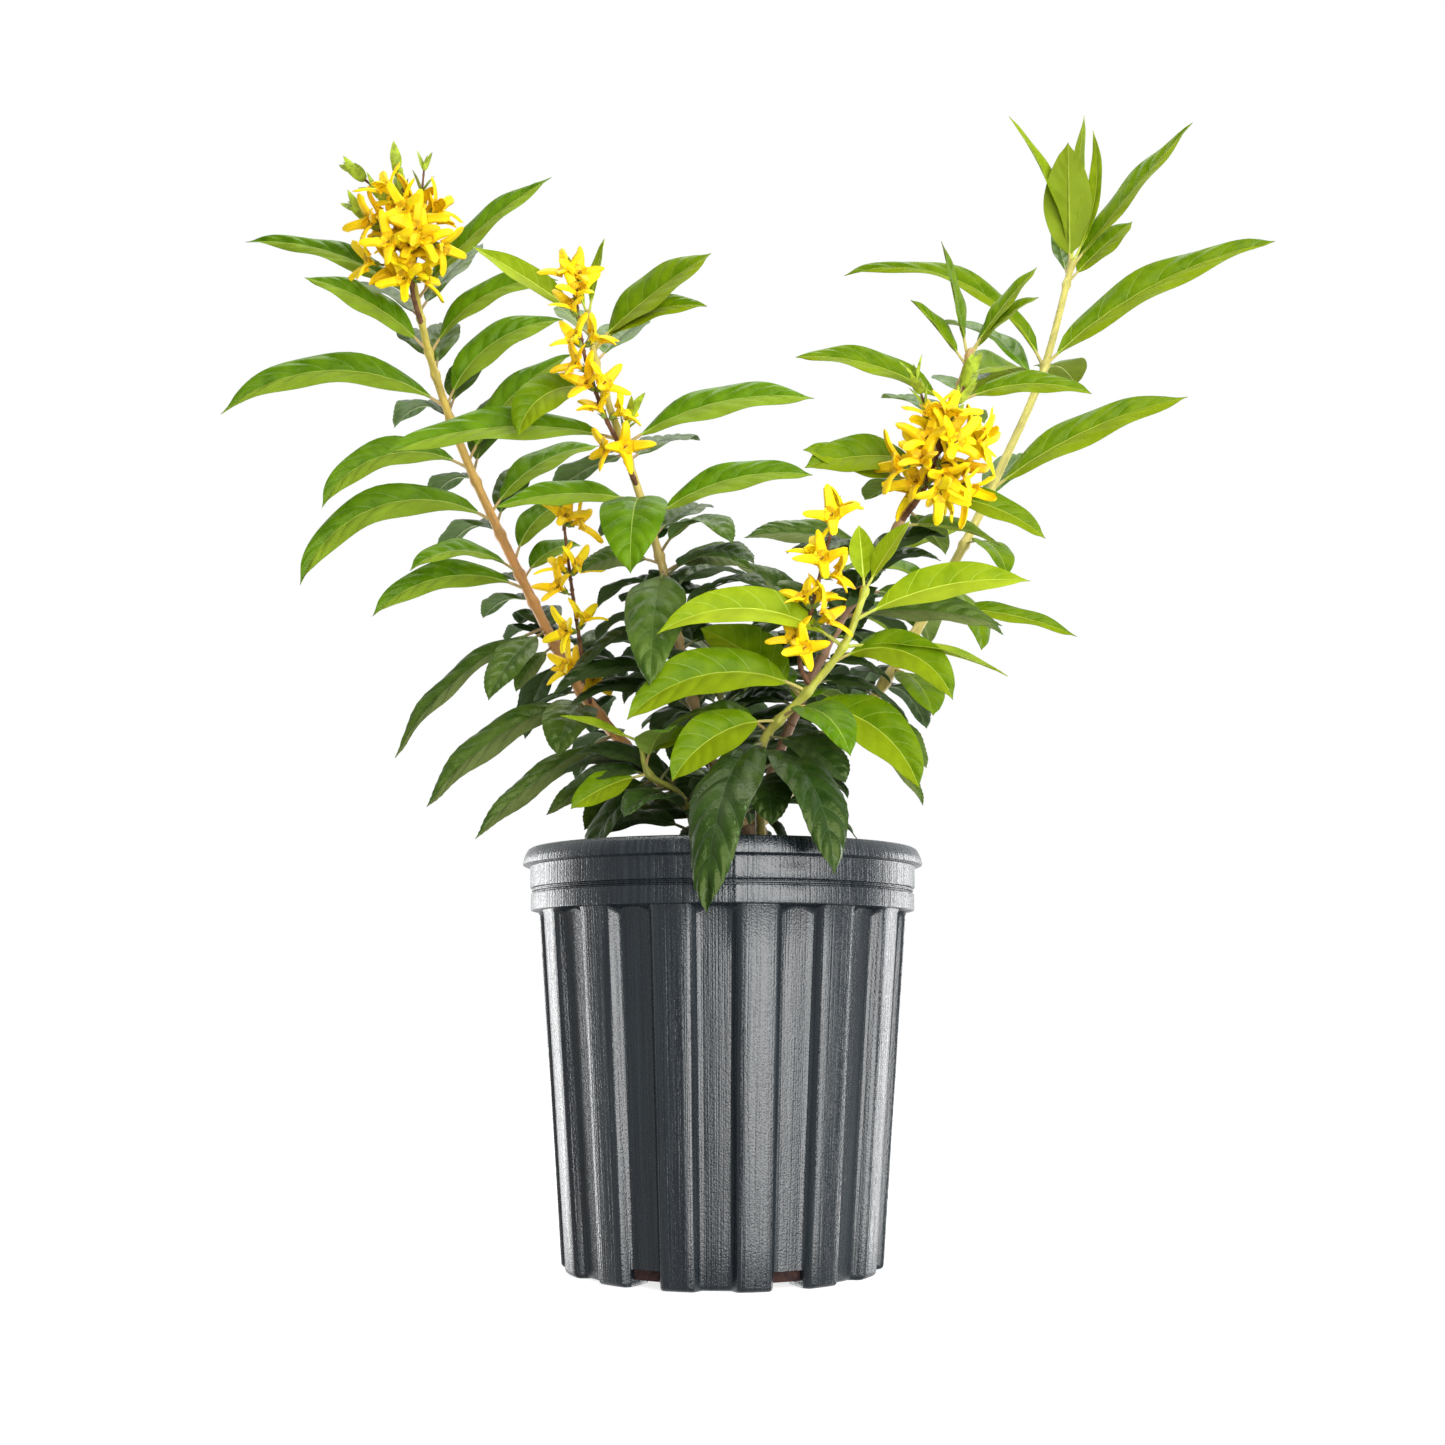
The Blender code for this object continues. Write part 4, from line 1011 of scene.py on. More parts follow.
def try_blossom(spot, draw):
    """A blossom at its spot, turned a little at random: root, axis, spin and size."""
    root, turn, lift = spot
    turn += draw.uniform(-BLOSSOM_LEAN, BLOSSOM_LEAN)
    lift += draw.uniform(-BLOSSOM_LEAN, BLOSSOM_LEAN)
    return root, way_at(turn, lift), draw.uniform(0.0, pi / 2), draw.uniform(*BLOSSOM_SIZE)

print("blossoms wanted:", sum(twig["rings"] * twig["around"] for twig in TWIGS))

# %% The coarse star
PETAL_LENGTH = 15.0
PETAL_WIDTH = 5.4
PETAL_COUNT = 4
PETAL_BELLY = (0.55, 0.27)  # outward and along the axis, as shares of the petal's length
PETAL_TIP = (0.92, 0.4)
PETAL_POINTS = 5
THROAT_RADIUS = 1.6
THROAT_DEPTH = 1.4
CALYX_LENGTH = 8.0

def petal_ways(axis, spin, shift=0.0):
    """Directions of the petals of a blossom, square to its axis. The shift is in petals."""
    side = axis.orthogonal().normalized()
    other = axis.cross(side)
    return [turned(side, other, spin + tau * (k + shift) / PETAL_COUNT) for k in range(PETAL_COUNT)]

def star_solid(root, axis, spin, size):
    centre = root + axis * CALYX_LENGTH
    length = PETAL_LENGTH * size
    points = [centre, centre - axis * 2.0 * THROAT_DEPTH]
    faces = []
    for k, out in enumerate(petal_ways(axis, spin)):
        across = axis.cross(out)
        notch = (out - across).normalized() * THROAT_RADIUS
        belly = centre + (out * PETAL_BELLY[0] + axis * PETAL_BELLY[1]) * length
        end = centre + (out * PETAL_TIP[0] + axis * PETAL_TIP[1]) * length
        points += [centre + notch, belly - across * PETAL_WIDTH / 2, end, belly + across * PETAL_WIDTH / 2,
                   centre + out * THROAT_RADIUS - axis * THROAT_DEPTH]
        valley, left, tip, right, under = range(2 + PETAL_POINTS * k, 2 + PETAL_POINTS * (k + 1))
        next_valley = 2 + PETAL_POINTS * ((k + 1) % PETAL_COUNT)
        next_under = next_valley + PETAL_POINTS - 1
        faces += [(0, valley, left), (0, left, tip), (0, tip, right), (0, right, next_valley),
                  (left, valley, under), (tip, left, under), (right, tip, under),
                  (next_valley, right, under), (next_valley, under, next_under),
                  (under, 1, next_under)]
    return points, faces

print("faces of a coarse star:", len(star_solid(Vector(), UP, 0.0, 1.0)[1]))

# %% [markdown]
# ## Room for every leaf
#
# Leaves of one bush part each other in the wind, so they seldom cross. The bush is grown
# once with coarse solids, in the order of the plain model: stems, blossom twigs, the leaves
# in front and then those by rule. A tree of each solid's faces answers quickly whether a new
# one touches it. What finds room is kept in lists, and only that is made fine.

# %% Coarse stems
STEM_ERROR = 0.6
STEM_SIDES = 7
GAP = 0.3  # left free between two parts of the plain model
GAP_ALONG = 1.2  # so many times the gap along a cane keep its slanted ends clear

def thin_line(line, error):
    """The few points of a line that stay within the error of all the others."""
    far, place = error, None
    for i in range(1, len(line) - 1):
        along = line[-1] - line[0]
        foot = line[0] + along * ((line[i] - line[0]).dot(along) / along.length_squared)
        if (line[i] - foot).length > far:
            far, place = (line[i] - foot).length, i
    if place is None:
        return [line[0], line[-1]]
    return thin_line(line[:place + 1], error)[:-1] + thin_line(line[place:], error)

def rings_along(line):
    """The two directions of the ring at each point of a line, without a twist between them."""
    side = None
    directions = []
    for i in range(len(line)):
        along = (line[min(i + 1, len(line) - 1)] - line[max(i - 1, 0)]).normalized()
        if side is None:
            side = along.cross(Vector((0, 1, 0))).normalized()
        side = (side - along * side.dot(along)).normalized()
        directions.append((side, along.cross(side)))
    return directions

def tube(line, radii, sides, flat_start=False):
    """Points and faces of a limb along a line; its first ring can be cut level."""
    rings = []
    for i, (side, other) in enumerate(rings_along(line)):
        offsets = [turned(side, other, tau * k / sides) * radii[i] for k in range(sides)]
        if flat_start and i == 0:
            for offset in offsets:
                offset.z = 0.0
        rings.append([line[i] + offset for offset in offsets])
    return skin_rings(rings)

def stem_start(name):
    """Height where the leafy part of a cane starts, just clear of the bare part below."""
    line, bough_top = lines[name], CANES[name]["bough_top"]
    if bough_top is None:
        return line[0].z + GAP
    ahead = point_at_height(line, bough_top + 2.0) - point_at_height(line, bough_top)
    return bough_top + ahead.normalized().z * GAP * GAP_ALONG

def stem_solid(name):
    line = lines[name]
    stretch = thin_line(part_of_line(line, stem_start(name), line[-1].z), STEM_ERROR)
    radii = [cane_radius(name, point.z) for point in stretch]
    return tube(stretch, radii, STEM_SIDES, flat_start=CANES[name]["bough_top"] is None)

print("stems start at:", {name: round(stem_start(name)) for name in CANES})

# %% Trees of faces
boughs = [name for name, cane in CANES.items() if cane["bough_top"] is not None]
BARE_NODES = ["pot", "potting_mix", "woody_foot"] + [name + "_bough" for name in boughs]

def tree_of(points, faces):
    return BVHTree.FromPolygons([Vector(point) for point in points], faces)

def tree_of_node(name):
    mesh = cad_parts[name].data
    return tree_of([vertex.co / MM for vertex in mesh.vertices],
                   [tuple(face.vertices) for face in mesh.polygons])

bare_trees = [tree_of_node(name) for name in BARE_NODES]
stem_trees = {name: tree_of(*stem_solid(name)) for name in CANES}
grown_trees = {name: [] for name in CANES}
grown_leaves = {name: [] for name in CANES}
grown_blossoms = {name: [] for name in CANES}

def room_for(name, solid, own=False):
    """True where a solid is clear of the other canes' growth, and of its own too if asked."""
    probe = tree_of(*solid)
    others = bare_trees + [tree for key, tree in stem_trees.items() if key != name]
    others += [tree for key in CANES if own or key != name for tree in grown_trees[key]]
    return not any(probe.overlap(tree) for tree in others)

print("trees to start with:", len(bare_trees), "bare and", len(stem_trees), "stems")

# %% Grow twigs, blossom and buds
TWIG_SIDES = 5
BLOSSOM_TRIES = 40
BUD_RADIUS = 1.0
BUD_TAPER = 0.7
BUD_LENGTH = 13.0
BUD_WIDTH = 6.0
BUD_PAST_TIP = 0.6  # share of the bud that lies past the end of its shoot

def grow_blossom(name, pose, solid):
    grown_trees[name].append(tree_of(*solid))
    grown_blossoms[name].append(pose)

def grow_twig(twig):
    name, line = twig["cane"], twig_line(twig)
    draw = random.Random("blossom %s %d" % (name, twig["start"]))
    for spot in blossom_spots(twig, line):
        for attempt in range(BLOSSOM_TRIES):
            pose = try_blossom(spot, draw)
            petals = star_solid(*pose)
            if room_for(name, petals, own=True):
                grow_blossom(name, pose, petals)
                break
    first, last = twig["radius"]
    radii = {tuple(point): first + (last - first) * k / (len(line) - 1) for k, point in enumerate(line)}
    shoot = thin_line(line, STEM_ERROR)
    grown_trees[name].append(tree_of(*tube(shoot, [radii[tuple(point)] for point in shoot], TWIG_SIDES)))

def grow_bud(name, start, end):
    radii = [BUD_RADIUS, BUD_RADIUS * BUD_TAPER]
    grown_trees[name].append(tree_of(*tube([start, end], radii, TWIG_SIDES)))
    along = (end - start).normalized()
    low, high = end - along * BUD_LENGTH * (1.0 - BUD_PAST_TIP), end + along * BUD_LENGTH * BUD_PAST_TIP
    side = along.orthogonal().normalized() * BUD_WIDTH / 2
    other = along.cross(side)
    ring = [low.lerp(high, 0.5) + way for way in (side, other, -side, -other)]
    grown_trees[name].append(tree_of(*skin_rings([ring], low, high)))

for twig in TWIGS:
    grow_twig(twig)
for start, end in BUD_SHOOTS:
    grow_bud("left", Vector(start), Vector(end))
print("blossoms with room:", {name: len(kept) for name, kept in grown_blossoms.items() if kept})

# %% Grow the leaves
def leaf_grows(name, kind, pose, own):
    """Try a leaf. Where it has room it is kept."""
    base = point_at_height(lines[name], pose[0])
    if not room_for(name, leaf_solid(base, pose, TEST_MARGIN), own):
        return False
    grown_trees[name].append(tree_of(*leaf_solid(base, pose)))
    grown_leaves[name].append((kind, base, pose))
    return True

def grow_leaves(kind, rows_of, tries):
    for name in CANES:
        draw = random.Random("leaves " + name)
        for row in rows_of(name):
            for attempt in range(tries):
                pose = varied(row, draw) if attempt else row
                if leaf_grows(name, kind, pose, own=tries > 1):
                    break

grow_leaves("front", LEAVES.__getitem__, 1)
grow_leaves("behind", behind_rows, LEAF_TRIES)
grow_leaves("fill", fill_rows, LEAF_TRIES)
print("leaves with room:", {name: len(kept) for name, kept in grown_leaves.items()})

# %% [markdown]
# The heart of the bush is darker than the plain model's few leaves make it. So the lesson
# adds more, wherever there is room left among them.

# %% Grow the inner leaves
INNER = {  # how many, first and last height, turns
    "left": (6, 262, 330, 10, 150), "centre": (14, 262, 345, 0, 360), "right": (10, 272, 340, 20, 300),
    "far": (6, 270, 340, 60, 300), "low_right": (6, 226, 275, 20, 340),
    "low_left": (8, 204, 236, 150, 400), "low_back": (14, 208, 300, -60, 250),
}
INNER_TRIES = 30
INNER_RISE = (-5.0, 60.0)
INNER_DROOP = (50.0, 100.0)
INNER_LENGTH = (46.0, 76.0)
INNER_WIDTH = (19.0, 25.0)

def grow_inner_leaves(name):
    count, first, last, turn_low, turn_high = INNER[name]
    draw = random.Random("inner " + name)
    for number in range(count):
        for attempt in range(INNER_TRIES):
            pose = (draw.uniform(first, last), draw.uniform(turn_low, turn_high), draw.uniform(*INNER_RISE),
                    draw.uniform(*INNER_DROOP), draw.uniform(*INNER_LENGTH), FILL_FACE,
                    draw.uniform(*INNER_WIDTH))
            if leaf_grows(name, "fill", pose, own=True):
                break

for name in INNER:
    grow_inner_leaves(name)
print("leaves in all:", sum(len(kept) for kept in grown_leaves.values()))

# %% [markdown]
# ## Bark
#
# The bark is drawn finer than the plain limb: a ring of sixteen points for every millimetre
# or so. The radius gets a swelling where leaves leave the cane, a slow unevenness from noise,
# and small warts, the pores that young forsythia bark is dotted with.

# %% Bark mesh
BARK_STEP = 1.1
BARK_SIDES = 16
NODE_SWELL = 0.8
NODE_REACH = 2.2
NODE_APART = 12.0
NODE_MOST = 1.3  # swellings that meet add up to this many at most
WART_HEIGHT = 0.28
WART_SHARE = 0.035
BARK_UNEVEN = 0.12
BARK_WAVES = 0.45
BARK_END = 0.8  # how far the rounded end of a cane stands out, in radii

def even_line(line, step):
    points = [line[0].copy()]
    rest = step
    for low, high in zip(line[:-1], line[1:]):
        length = (high - low).length
        while rest <= length:
            points.append(low.lerp(high, rest / length))
            rest += step
        rest -= length
    if (points[-1] - line[-1]).length > step * 0.3:
        points.append(line[-1].copy())
    else:
        points[-1] = line[-1].copy()
    return points

def bark_tube(name, line, swell_at, draw, end_round=True):
    points = even_line(line, BARK_STEP)
    rings = []
    for point, (side, other) in zip(points, rings_along(points)):
        swell = sum(NODE_SWELL * exp(-((point.z - height) / NODE_REACH) ** 2) for height in swell_at)
        radius = cane_radius(name, point.z) + min(swell, NODE_SWELL * NODE_MOST)
        ring = []
        for k in range(BARK_SIDES):
            out = turned(side, other, tau * k / BARK_SIDES)
            rough = BARK_UNEVEN * noise.noise((point + out * radius) * BARK_WAVES)
            wart = WART_HEIGHT * draw.uniform(0.5, 1.0) if draw.random() < WART_SHARE else 0.0
            ring.append(point + out * (radius + rough + wart))
        rings.append(ring)
    ahead = (points[-1] - points[-2]).normalized()
    end = points[-1] + ahead * cane_radius(name, points[-1].z) * BARK_END
    return skin_rings(rings, points[0], end if end_round else None)

def node_heights(name):
    """Heights of the swellings on a cane: one where leaves stand, none close to the last."""
    heights = []
    for height in sorted(row[0] for kind, base, row in grown_leaves[name]):
        if not heights or height - heights[-1] > NODE_APART:
            heights.append(height)
    return heights

print("swellings:", {name: len(node_heights(name)) for name in CANES})

# %% [markdown]
# The colour runs from orange-tan on old wood to yellow-green on the new, by the height on the
# cane. The grain is a noise whose place is first leaned back by the cane's lean, so its
# streaks run up the cane. Pale pores are a pattern of cells on top.

# %% Bark finish
GRAIN = 300.0
GRAIN_STRETCH = 0.2  # the grain runs up the cane: a place's height counts only so much
GRAIN_SHARE = 0.8
FINE_GRAIN = 900.0
FINE_GRAIN_DEPTH = 0.12
PORES = 420.0
PORE_COLOUR = (0.62, 0.5, 0.3)
PORE_SHARE = 0.35
BLACK = (0.0, 0.0, 0.0)
CANE_COLOURS = {  # colour below and above, and the heights between which it changes
    "left": ((0.56, 0.265, 0.075), (0.54, 0.46, 0.07), 360, 500),
    "centre": ((0.36, 0.24, 0.09), (0.48, 0.4, 0.07), 300, 400),
    "right": ((0.3, 0.16, 0.085), (0.46, 0.3, 0.1), 330, 400),
    "far": ((0.5, 0.39, 0.095), (0.5, 0.45, 0.1), 280, 420),
    "low_right": ((0.3, 0.25, 0.055), (0.42, 0.45, 0.045), 210, 290),
    "low_left": ((0.26, 0.22, 0.055), (0.38, 0.41, 0.045), 200, 245),
    "low_back": ((0.23, 0.17, 0.07), (0.23, 0.26, 0.06), 200, 320),
}

def cane_finish(name):
    low, high, start, end = CANE_COLOURS[name]
    finish = Finish("bark of the %s cane" % name.replace("_", " "), low, 0.52)
    place = finish.place()
    split = finish.node("ShaderNodeSeparateXYZ")
    finish.link(place, split.inputs[0])
    rise = lines[name][-1] - lines[name][len(lines[name]) // 3]
    upright = finish.node("ShaderNodeVectorMath", operation="MULTIPLY_ADD")
    finish.link(split.outputs["Z"], upright.inputs[0])
    upright.inputs[1].default_value = (-rise.x / rise.z, -rise.y / rise.z, GRAIN_STRETCH - 1.0)
    finish.link(place, upright.inputs[2])
    climb = finish.node("ShaderNodeMapRange")
    climb.inputs["From Min"].default_value = start * MM
    climb.inputs["From Max"].default_value = end * MM
    finish.link(split.outputs["Z"], climb.inputs["Value"])
    base = finish.mix(climb.outputs["Result"], low, high)
    grain = finish.noise(GRAIN, place=upright.outputs[0])
    streaked = finish.mix(GRAIN_SHARE, base, finish.ramp(grain, (0.35, 0.66), (0.65, 1.22)), "MULTIPLY")
    pores = finish.ramp(finish.cells(PORES), (0.05, PORE_COLOUR), (0.16, BLACK))
    finish.colour(finish.mix(PORE_SHARE, streaked, pores, "ADD"))
    finish.bump(finish.noise(FINE_GRAIN, place=upright.outputs[0]), FINE_GRAIN_DEPTH)
    return finish.material

cane_finishes = {name: cane_finish(name) for name in CANES}
print("bark finishes:", len(cane_finishes))

# %% Dress the canes
BOUGH_SUNK = UP * -3.0  # the bough starts this far down in the woody foot

for name, cane in CANES.items():
    line = lines[name]
    draw = random.Random("bark " + name)
    if cane["bough_top"] is not None:
        bare = [line[0] + BOUGH_SUNK] + part_of_line(line, line[0].z, cane["bough_top"])
        bough = make_mesh(name + "_bough_bark", *bark_tube(name, bare, [], draw, end_round=False))
        bough.data.materials.append(cane_finishes[name])
        bough.data.shade_smooth()
        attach(bough, "root")
        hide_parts(name + "_bough")
    leafy = part_of_line(line, stem_start(name) - GAP * 0.5, line[-1].z)
    stem = make_mesh(name + "_cane_bark", *bark_tube(name, leafy, node_heights(name), draw))
    stem.data.materials.append(cane_finishes[name])
    stem.data.shade_smooth()
    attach(stem, "root")
    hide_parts(name + "_foliage")
print("canes dressed:", len(CANES))

# %% [markdown]
# ## The woody foot
#
# The oldest wood is a short stump with furrowed brown bark and a flare where it enters the
# mix. Rings of points again, but here the noise is stretched upright and much deeper.

# %% Woody foot
FOOT_TOP = (13.0, -3.0)
FOOT_PROFILE = ((-4.0, 16.0), (0.0, 14.6), (4.0, 12.0), (11.0, 10.2),  # height and radius
                (20.0, 9.9), (25.5, 9.5), (27.6, 8.4), (28.4, 6.0))
FOOT_SIDES = 64
FOOT_STEP = 0.8
FURROW_DEPTH = 1.5
FURROWS = (4.2, 0.06)
CRACKS = (12.0, 0.35)
CRACK_SHARE = 0.35
FOOT_INWARD = 0.3  # of the furrow's depth, so that the bark keeps to the plain foot

def foot_radius(rise):
    for (low, near), (high, far) in zip(FOOT_PROFILE[:-1], FOOT_PROFILE[1:]):
        if rise <= high:
            return near + (far - near) * (rise - low) / (high - low)
    return FOOT_PROFILE[-1][1]

def foot_noise(out, rise, pattern):
    around, upright = pattern
    return noise.noise((out.x * around, out.y * around, rise * upright)) * FURROW_DEPTH

def foot_rings():
    rings = []
    low, high = FOOT_PROFILE[0][0], FOOT_PROFILE[-1][0]
    count = round((high - low) / FOOT_STEP)
    for k in range(count + 1):
        rise = low + (high - low) * k / count
        centre = Vector(SHRUB_PLACE).lerp(Vector(FOOT_TOP), max(rise, 0.0) / high)
        ring = []
        for i in range(FOOT_SIDES):
            angle = tau * i / FOOT_SIDES
            out = Vector((cos(angle), sin(angle), 0.0))
            reach = (foot_radius(rise) + foot_noise(out, rise, FURROWS)
                     + foot_noise(out, rise, CRACKS) * CRACK_SHARE - FURROW_DEPTH * FOOT_INWARD)
            ring.append((centre.x + out.x * reach, centre.y + out.y * reach, MIX_TOP + GAP + rise))
        rings.append(ring)
    return skin_rings(rings, (*SHRUB_PLACE, MIX_TOP + GAP + low), (*FOOT_TOP, MIX_TOP + GAP + high))

foot = make_mesh("old_wood", *foot_rings())
print("foot faces:", len(foot.data.polygons))

# %% Old bark
OLD_BARK_FURROWS = ((0.36, (0.06, 0.034, 0.022)), (0.66, (0.27, 0.16, 0.085)))
OLD_BARK_PATCHES = ((0.4, (0.09, 0.055, 0.036)), (0.62, (0.33, 0.23, 0.13)))
PATCH_SHARE = 0.45

def old_bark():
    finish = Finish("old brown bark", (0.2, 0.11, 0.055), 0.85)
    furrows = finish.noise(260.0, 4.0, (1.0, 1.0, 0.22))
    patches = finish.ramp(finish.noise(70.0), *OLD_BARK_PATCHES)
    finish.colour(finish.mix(PATCH_SHARE, finish.ramp(furrows, *OLD_BARK_FURROWS), patches))
    finish.bump(furrows, 0.8)
    finish.bump(finish.noise(1400.0), 0.2)
    return finish.material

foot.data.materials.append(old_bark())
foot.data.shade_smooth()
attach(foot, "root")
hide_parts("woody_foot")
print("woody foot dressed")

# %% [markdown]
# ## A fine leaf
#
# The blade is a grid of points with an upper and a lower skin. Its rows don't run straight
# across: they sweep forward towards the edge, as side veins do, so a vein is simply one
# narrow row of faces with its own finish. Between veins the blade bulges, the edge waves and
# curls, and on old leaves it is toothed. A thin rim closes the two skins, and a stalk runs on
# under the blade as its midrib.

# %% Leaf grid
VEIN_COUNT = 7
VEIN_HALF = 0.0026  # half width of a vein, as a share of the blade
VEIN_FIRST = 0.075
VEIN_LAST = 0.9
ROWS_BETWEEN = 3
TIP_ROW = 0.985
COLUMN_SHARES = (0.0, 0.2, 0.42, 0.64, 0.84, 1.0)
BLADE_COLUMNS = [(share, -1) for share in reversed(COLUMN_SHARES)] + [(share, 1) for share in COLUMN_SHARES]

def blade_rows():
    """Shares along the blade of each row of points, which rows of faces are veins, and teeth."""
    rows, veins, teeth = [0.0, VEIN_FIRST * 0.5], [False], [0.0, 0.0]
    for k in range(VEIN_COUNT):
        middle = VEIN_FIRST + (VEIN_LAST - VEIN_FIRST) * k / (VEIN_COUNT - 1)
        rows += [middle - VEIN_HALF, middle + VEIN_HALF]
        veins += [False, True]
        teeth += [0.0, 0.0]
        if k < VEIN_COUNT - 1:
            step = (VEIN_LAST - VEIN_FIRST) / (VEIN_COUNT - 1) / (ROWS_BETWEEN + 1)
            rows += [middle + step * (j + 1) for j in range(ROWS_BETWEEN)]
            veins += [False] * ROWS_BETWEEN
            teeth += [1.0 if j % 2 == 0 else 0.0 for j in range(ROWS_BETWEEN)]
    rows += [VEIN_LAST + (TIP_ROW - VEIN_LAST) * 0.5, TIP_ROW]
    veins += [False, False]
    teeth += [0.0, 0.0]
    return rows, veins, teeth

BLADE_ROWS, VEIN_ROWS, TOOTH_ROWS = blade_rows()
print("points of a blade:", len(BLADE_ROWS), "rows of", len(BLADE_COLUMNS))

# %% [markdown]
# Each leaf gets a habit: how strongly it is quilted, curled, waved and toothed. Young leaves
# are smooth and plain, old ones are quilted and toothed. The habit, the outline and the
# colour go by age, and age goes by the height of the leaf on its cane.

# %% Ages
AGES = ("young", "bright", "green", "dark", "deep")
OLD_LEAVES = ("dark", "deep")  # their midrib is hardly paler than the blade
HABITS = {  # quilting in mm, curl, wave in mm, tooth in mm
    "young": (0.35, 0.1, 0.5, 0.0),
    "bright": (1.00, 0.16, 1.0, 0.0),
    "green": (1.2, 0.2, 1.1, 0.0),
    "dark": (1.45, 0.24, 1.2, 0.24),
    "deep": (1.6, 0.26, 1.2, 0.3),
}
BLADE_SHAPES = {  # like LEAF_BELLY and LEAF_POINTED of the coarse leaf, but as full as the real blade
    "young": (0.85, 0.95),
    "bright": (0.84, 0.8),
    "green": (0.84, 0.82),
    "dark": (0.82, 0.78),
    "deep": (0.78, 0.7),
}
POINT_FROM = 0.9  # from here on the blade draws in to its fine point
AGE_BY_HEIGHT = {  # the lowest height at which leaves of a cane have an age
    "left": ((335, "green"), (0, "dark")),
    "centre": ((446, "young"), (405, "bright"), (350, "green"), (328, "dark"), (0, "deep")),
    "right": ((355, "bright"), (0, "dark")),
    "far": ((550, "young"), (300, "bright"), (0, "dark")),
    "low_right": ((286, "young"), (252, "bright"), (0, "deep")),
    "low_left": ((244, "young"), (232, "bright"), (0, "dark")),
    "low_back": ((270, "dark"), (0, "deep")),
}

def age_of(name, kind, height):
    """The age of a leaf by its height. Leaves behind and in the filling are a step older."""
    age = next(age for lowest, age in AGE_BY_HEIGHT[name] if height >= lowest)
    step = 0 if kind == "front" else 1
    return AGES[min(AGES.index(age) + step, len(AGES) - 1)]

def blade_half_width(share, age):
    belly, pointed = BLADE_SHAPES[age]
    drawn_in = sqrt(min(1.0, (1.0 - share) / (1.0 - POINT_FROM)))
    return sin(pi * share ** belly) ** pointed * drawn_in

print("ages from the tips down:", ", ".join(AGES))

# %% [markdown]
# A leaf has six finishes: the blade from above and from below, the side veins, the midrib, the
# stalk, and the half of an upper side that is turned to the sky, which is painted pale and dull
# as the sheen of the light from above. Each is a soft play between two tones, over fine wrinkles.

# %% Leaf finishes
LEAF_COLOURS = {  # dark and light blade, under side, painted sheen, veins, midrib, stalk
    "young": ((0.17, 0.26, 0.004), (0.26, 0.35, 0.008), (0.33, 0.43, 0.025), (0.32, 0.4, 0.012),
              (0.255, 0.365, 0.006), (0.42, 0.52, 0.04), (0.42, 0.46, 0.06)),
    "bright": ((0.075, 0.15, 0.001), (0.135, 0.22, 0.002), (0.155, 0.215, 0.004), (0.21, 0.265, 0.004),
               (0.13, 0.21, 0.003), (0.28, 0.35, 0.022), (0.4, 0.35, 0.09)),
    "green": ((0.056, 0.138, 0.001), (0.108, 0.22, 0.003), (0.18, 0.27, 0.04), (0.265, 0.345, 0.032),
              (0.1, 0.2, 0.004), (0.25, 0.34, 0.04), (0.42, 0.3, 0.11)),
    "dark": ((0.034, 0.074, 0.008), (0.07, 0.122, 0.015), (0.12, 0.2, 0.055), (0.16, 0.182, 0.068),
             (0.056, 0.108, 0.011), (0.17, 0.24, 0.04), (0.28, 0.2, 0.08)),
    "deep": ((0.01, 0.029, 0.0035), (0.023, 0.052, 0.007), (0.08, 0.14, 0.045), (0.042, 0.068, 0.02),
             (0.026, 0.058, 0.01), (0.11, 0.165, 0.04), (0.15, 0.15, 0.055)),
}
LEAF_SHEEN = (0.85, 1.0, 0.4, 1.0)
LEAF_GLOSS = {"young": 0.12, "bright": 0.16, "green": 0.22, "dark": 0.32, "deep": 0.36}
WRINKLE = {"young": 0.2, "bright": 0.32, "green": 0.42, "dark": 0.6, "deep": 0.7}  # in mm
WRINKLES = 170.0
NET = 560.0
NET_DEPTH = 0.07  # of the finest veins, as a share of the wrinkles' depth
BLADE_PATCHES = 90.0
UNDER_PATCHES = 60.0
RIB_PATCHES = 200.0
# how much of the pale painted sheen colour goes into the half turned to the sky
PAINTED_SHEEN_SHARE = 0.55

def scaled(colour, share):
    return tuple(min(1.0, c * share) for c in colour)

def leaf_relief(finish, depth):
    finish.bump(finish.noise(WRINKLES, 2.0), depth)
    net = finish.cells(NET, "DISTANCE_TO_EDGE")
    finish.bump(finish.ramp(net, (0.0, 0.0), (0.3, 1.0)), depth * NET_DEPTH)

def upper_finish(age, dark, light):
    finish = Finish("%s leaf, upper side" % age, dark, 0.46, Specular_IOR_Level=LEAF_GLOSS[age],
                    Specular_Tint=LEAF_SHEEN)
    finish.colour(finish.ramp(finish.noise(BLADE_PATCHES, 4.0), (0.34, dark), (0.66, light)))
    finish.roughness(finish.ramp(finish.noise(BLADE_PATCHES), (0.35, 0.26), (0.7, 0.42)))
    leaf_relief(finish, WRINKLE[age])
    return finish.material

def painted_sheen_finish(age, light, painted_sheen):
    # painted sheen: the half turned to the sky is made paler and duller, standing in for the gloss of the
    # light from above
    dull = tuple(c * (1.0 - PAINTED_SHEEN_SHARE) + grey * PAINTED_SHEEN_SHARE for c, grey in zip(light, painted_sheen))
    finish = Finish("%s leaf, half with bloom" % age, dull, 0.6, Specular_IOR_Level=0.12,
                    Specular_Tint=LEAF_SHEEN)
    patches = finish.noise(BLADE_PATCHES, 4.0)
    finish.colour(finish.ramp(patches, (0.34, scaled(dull, 0.88)), (0.66, scaled(dull, 1.1))))
    leaf_relief(finish, WRINKLE[age] * 0.6)
    return finish.material

def lower_finish(age, colour):
    finish = Finish("%s leaf, under side" % age, colour, 0.62, Specular_IOR_Level=0.15)
    patches = finish.noise(UNDER_PATCHES)
    finish.colour(finish.ramp(patches, (0.36, colour), (0.66, scaled(colour, 1.25))))
    leaf_relief(finish, WRINKLE[age] * 0.5)
    return finish.material

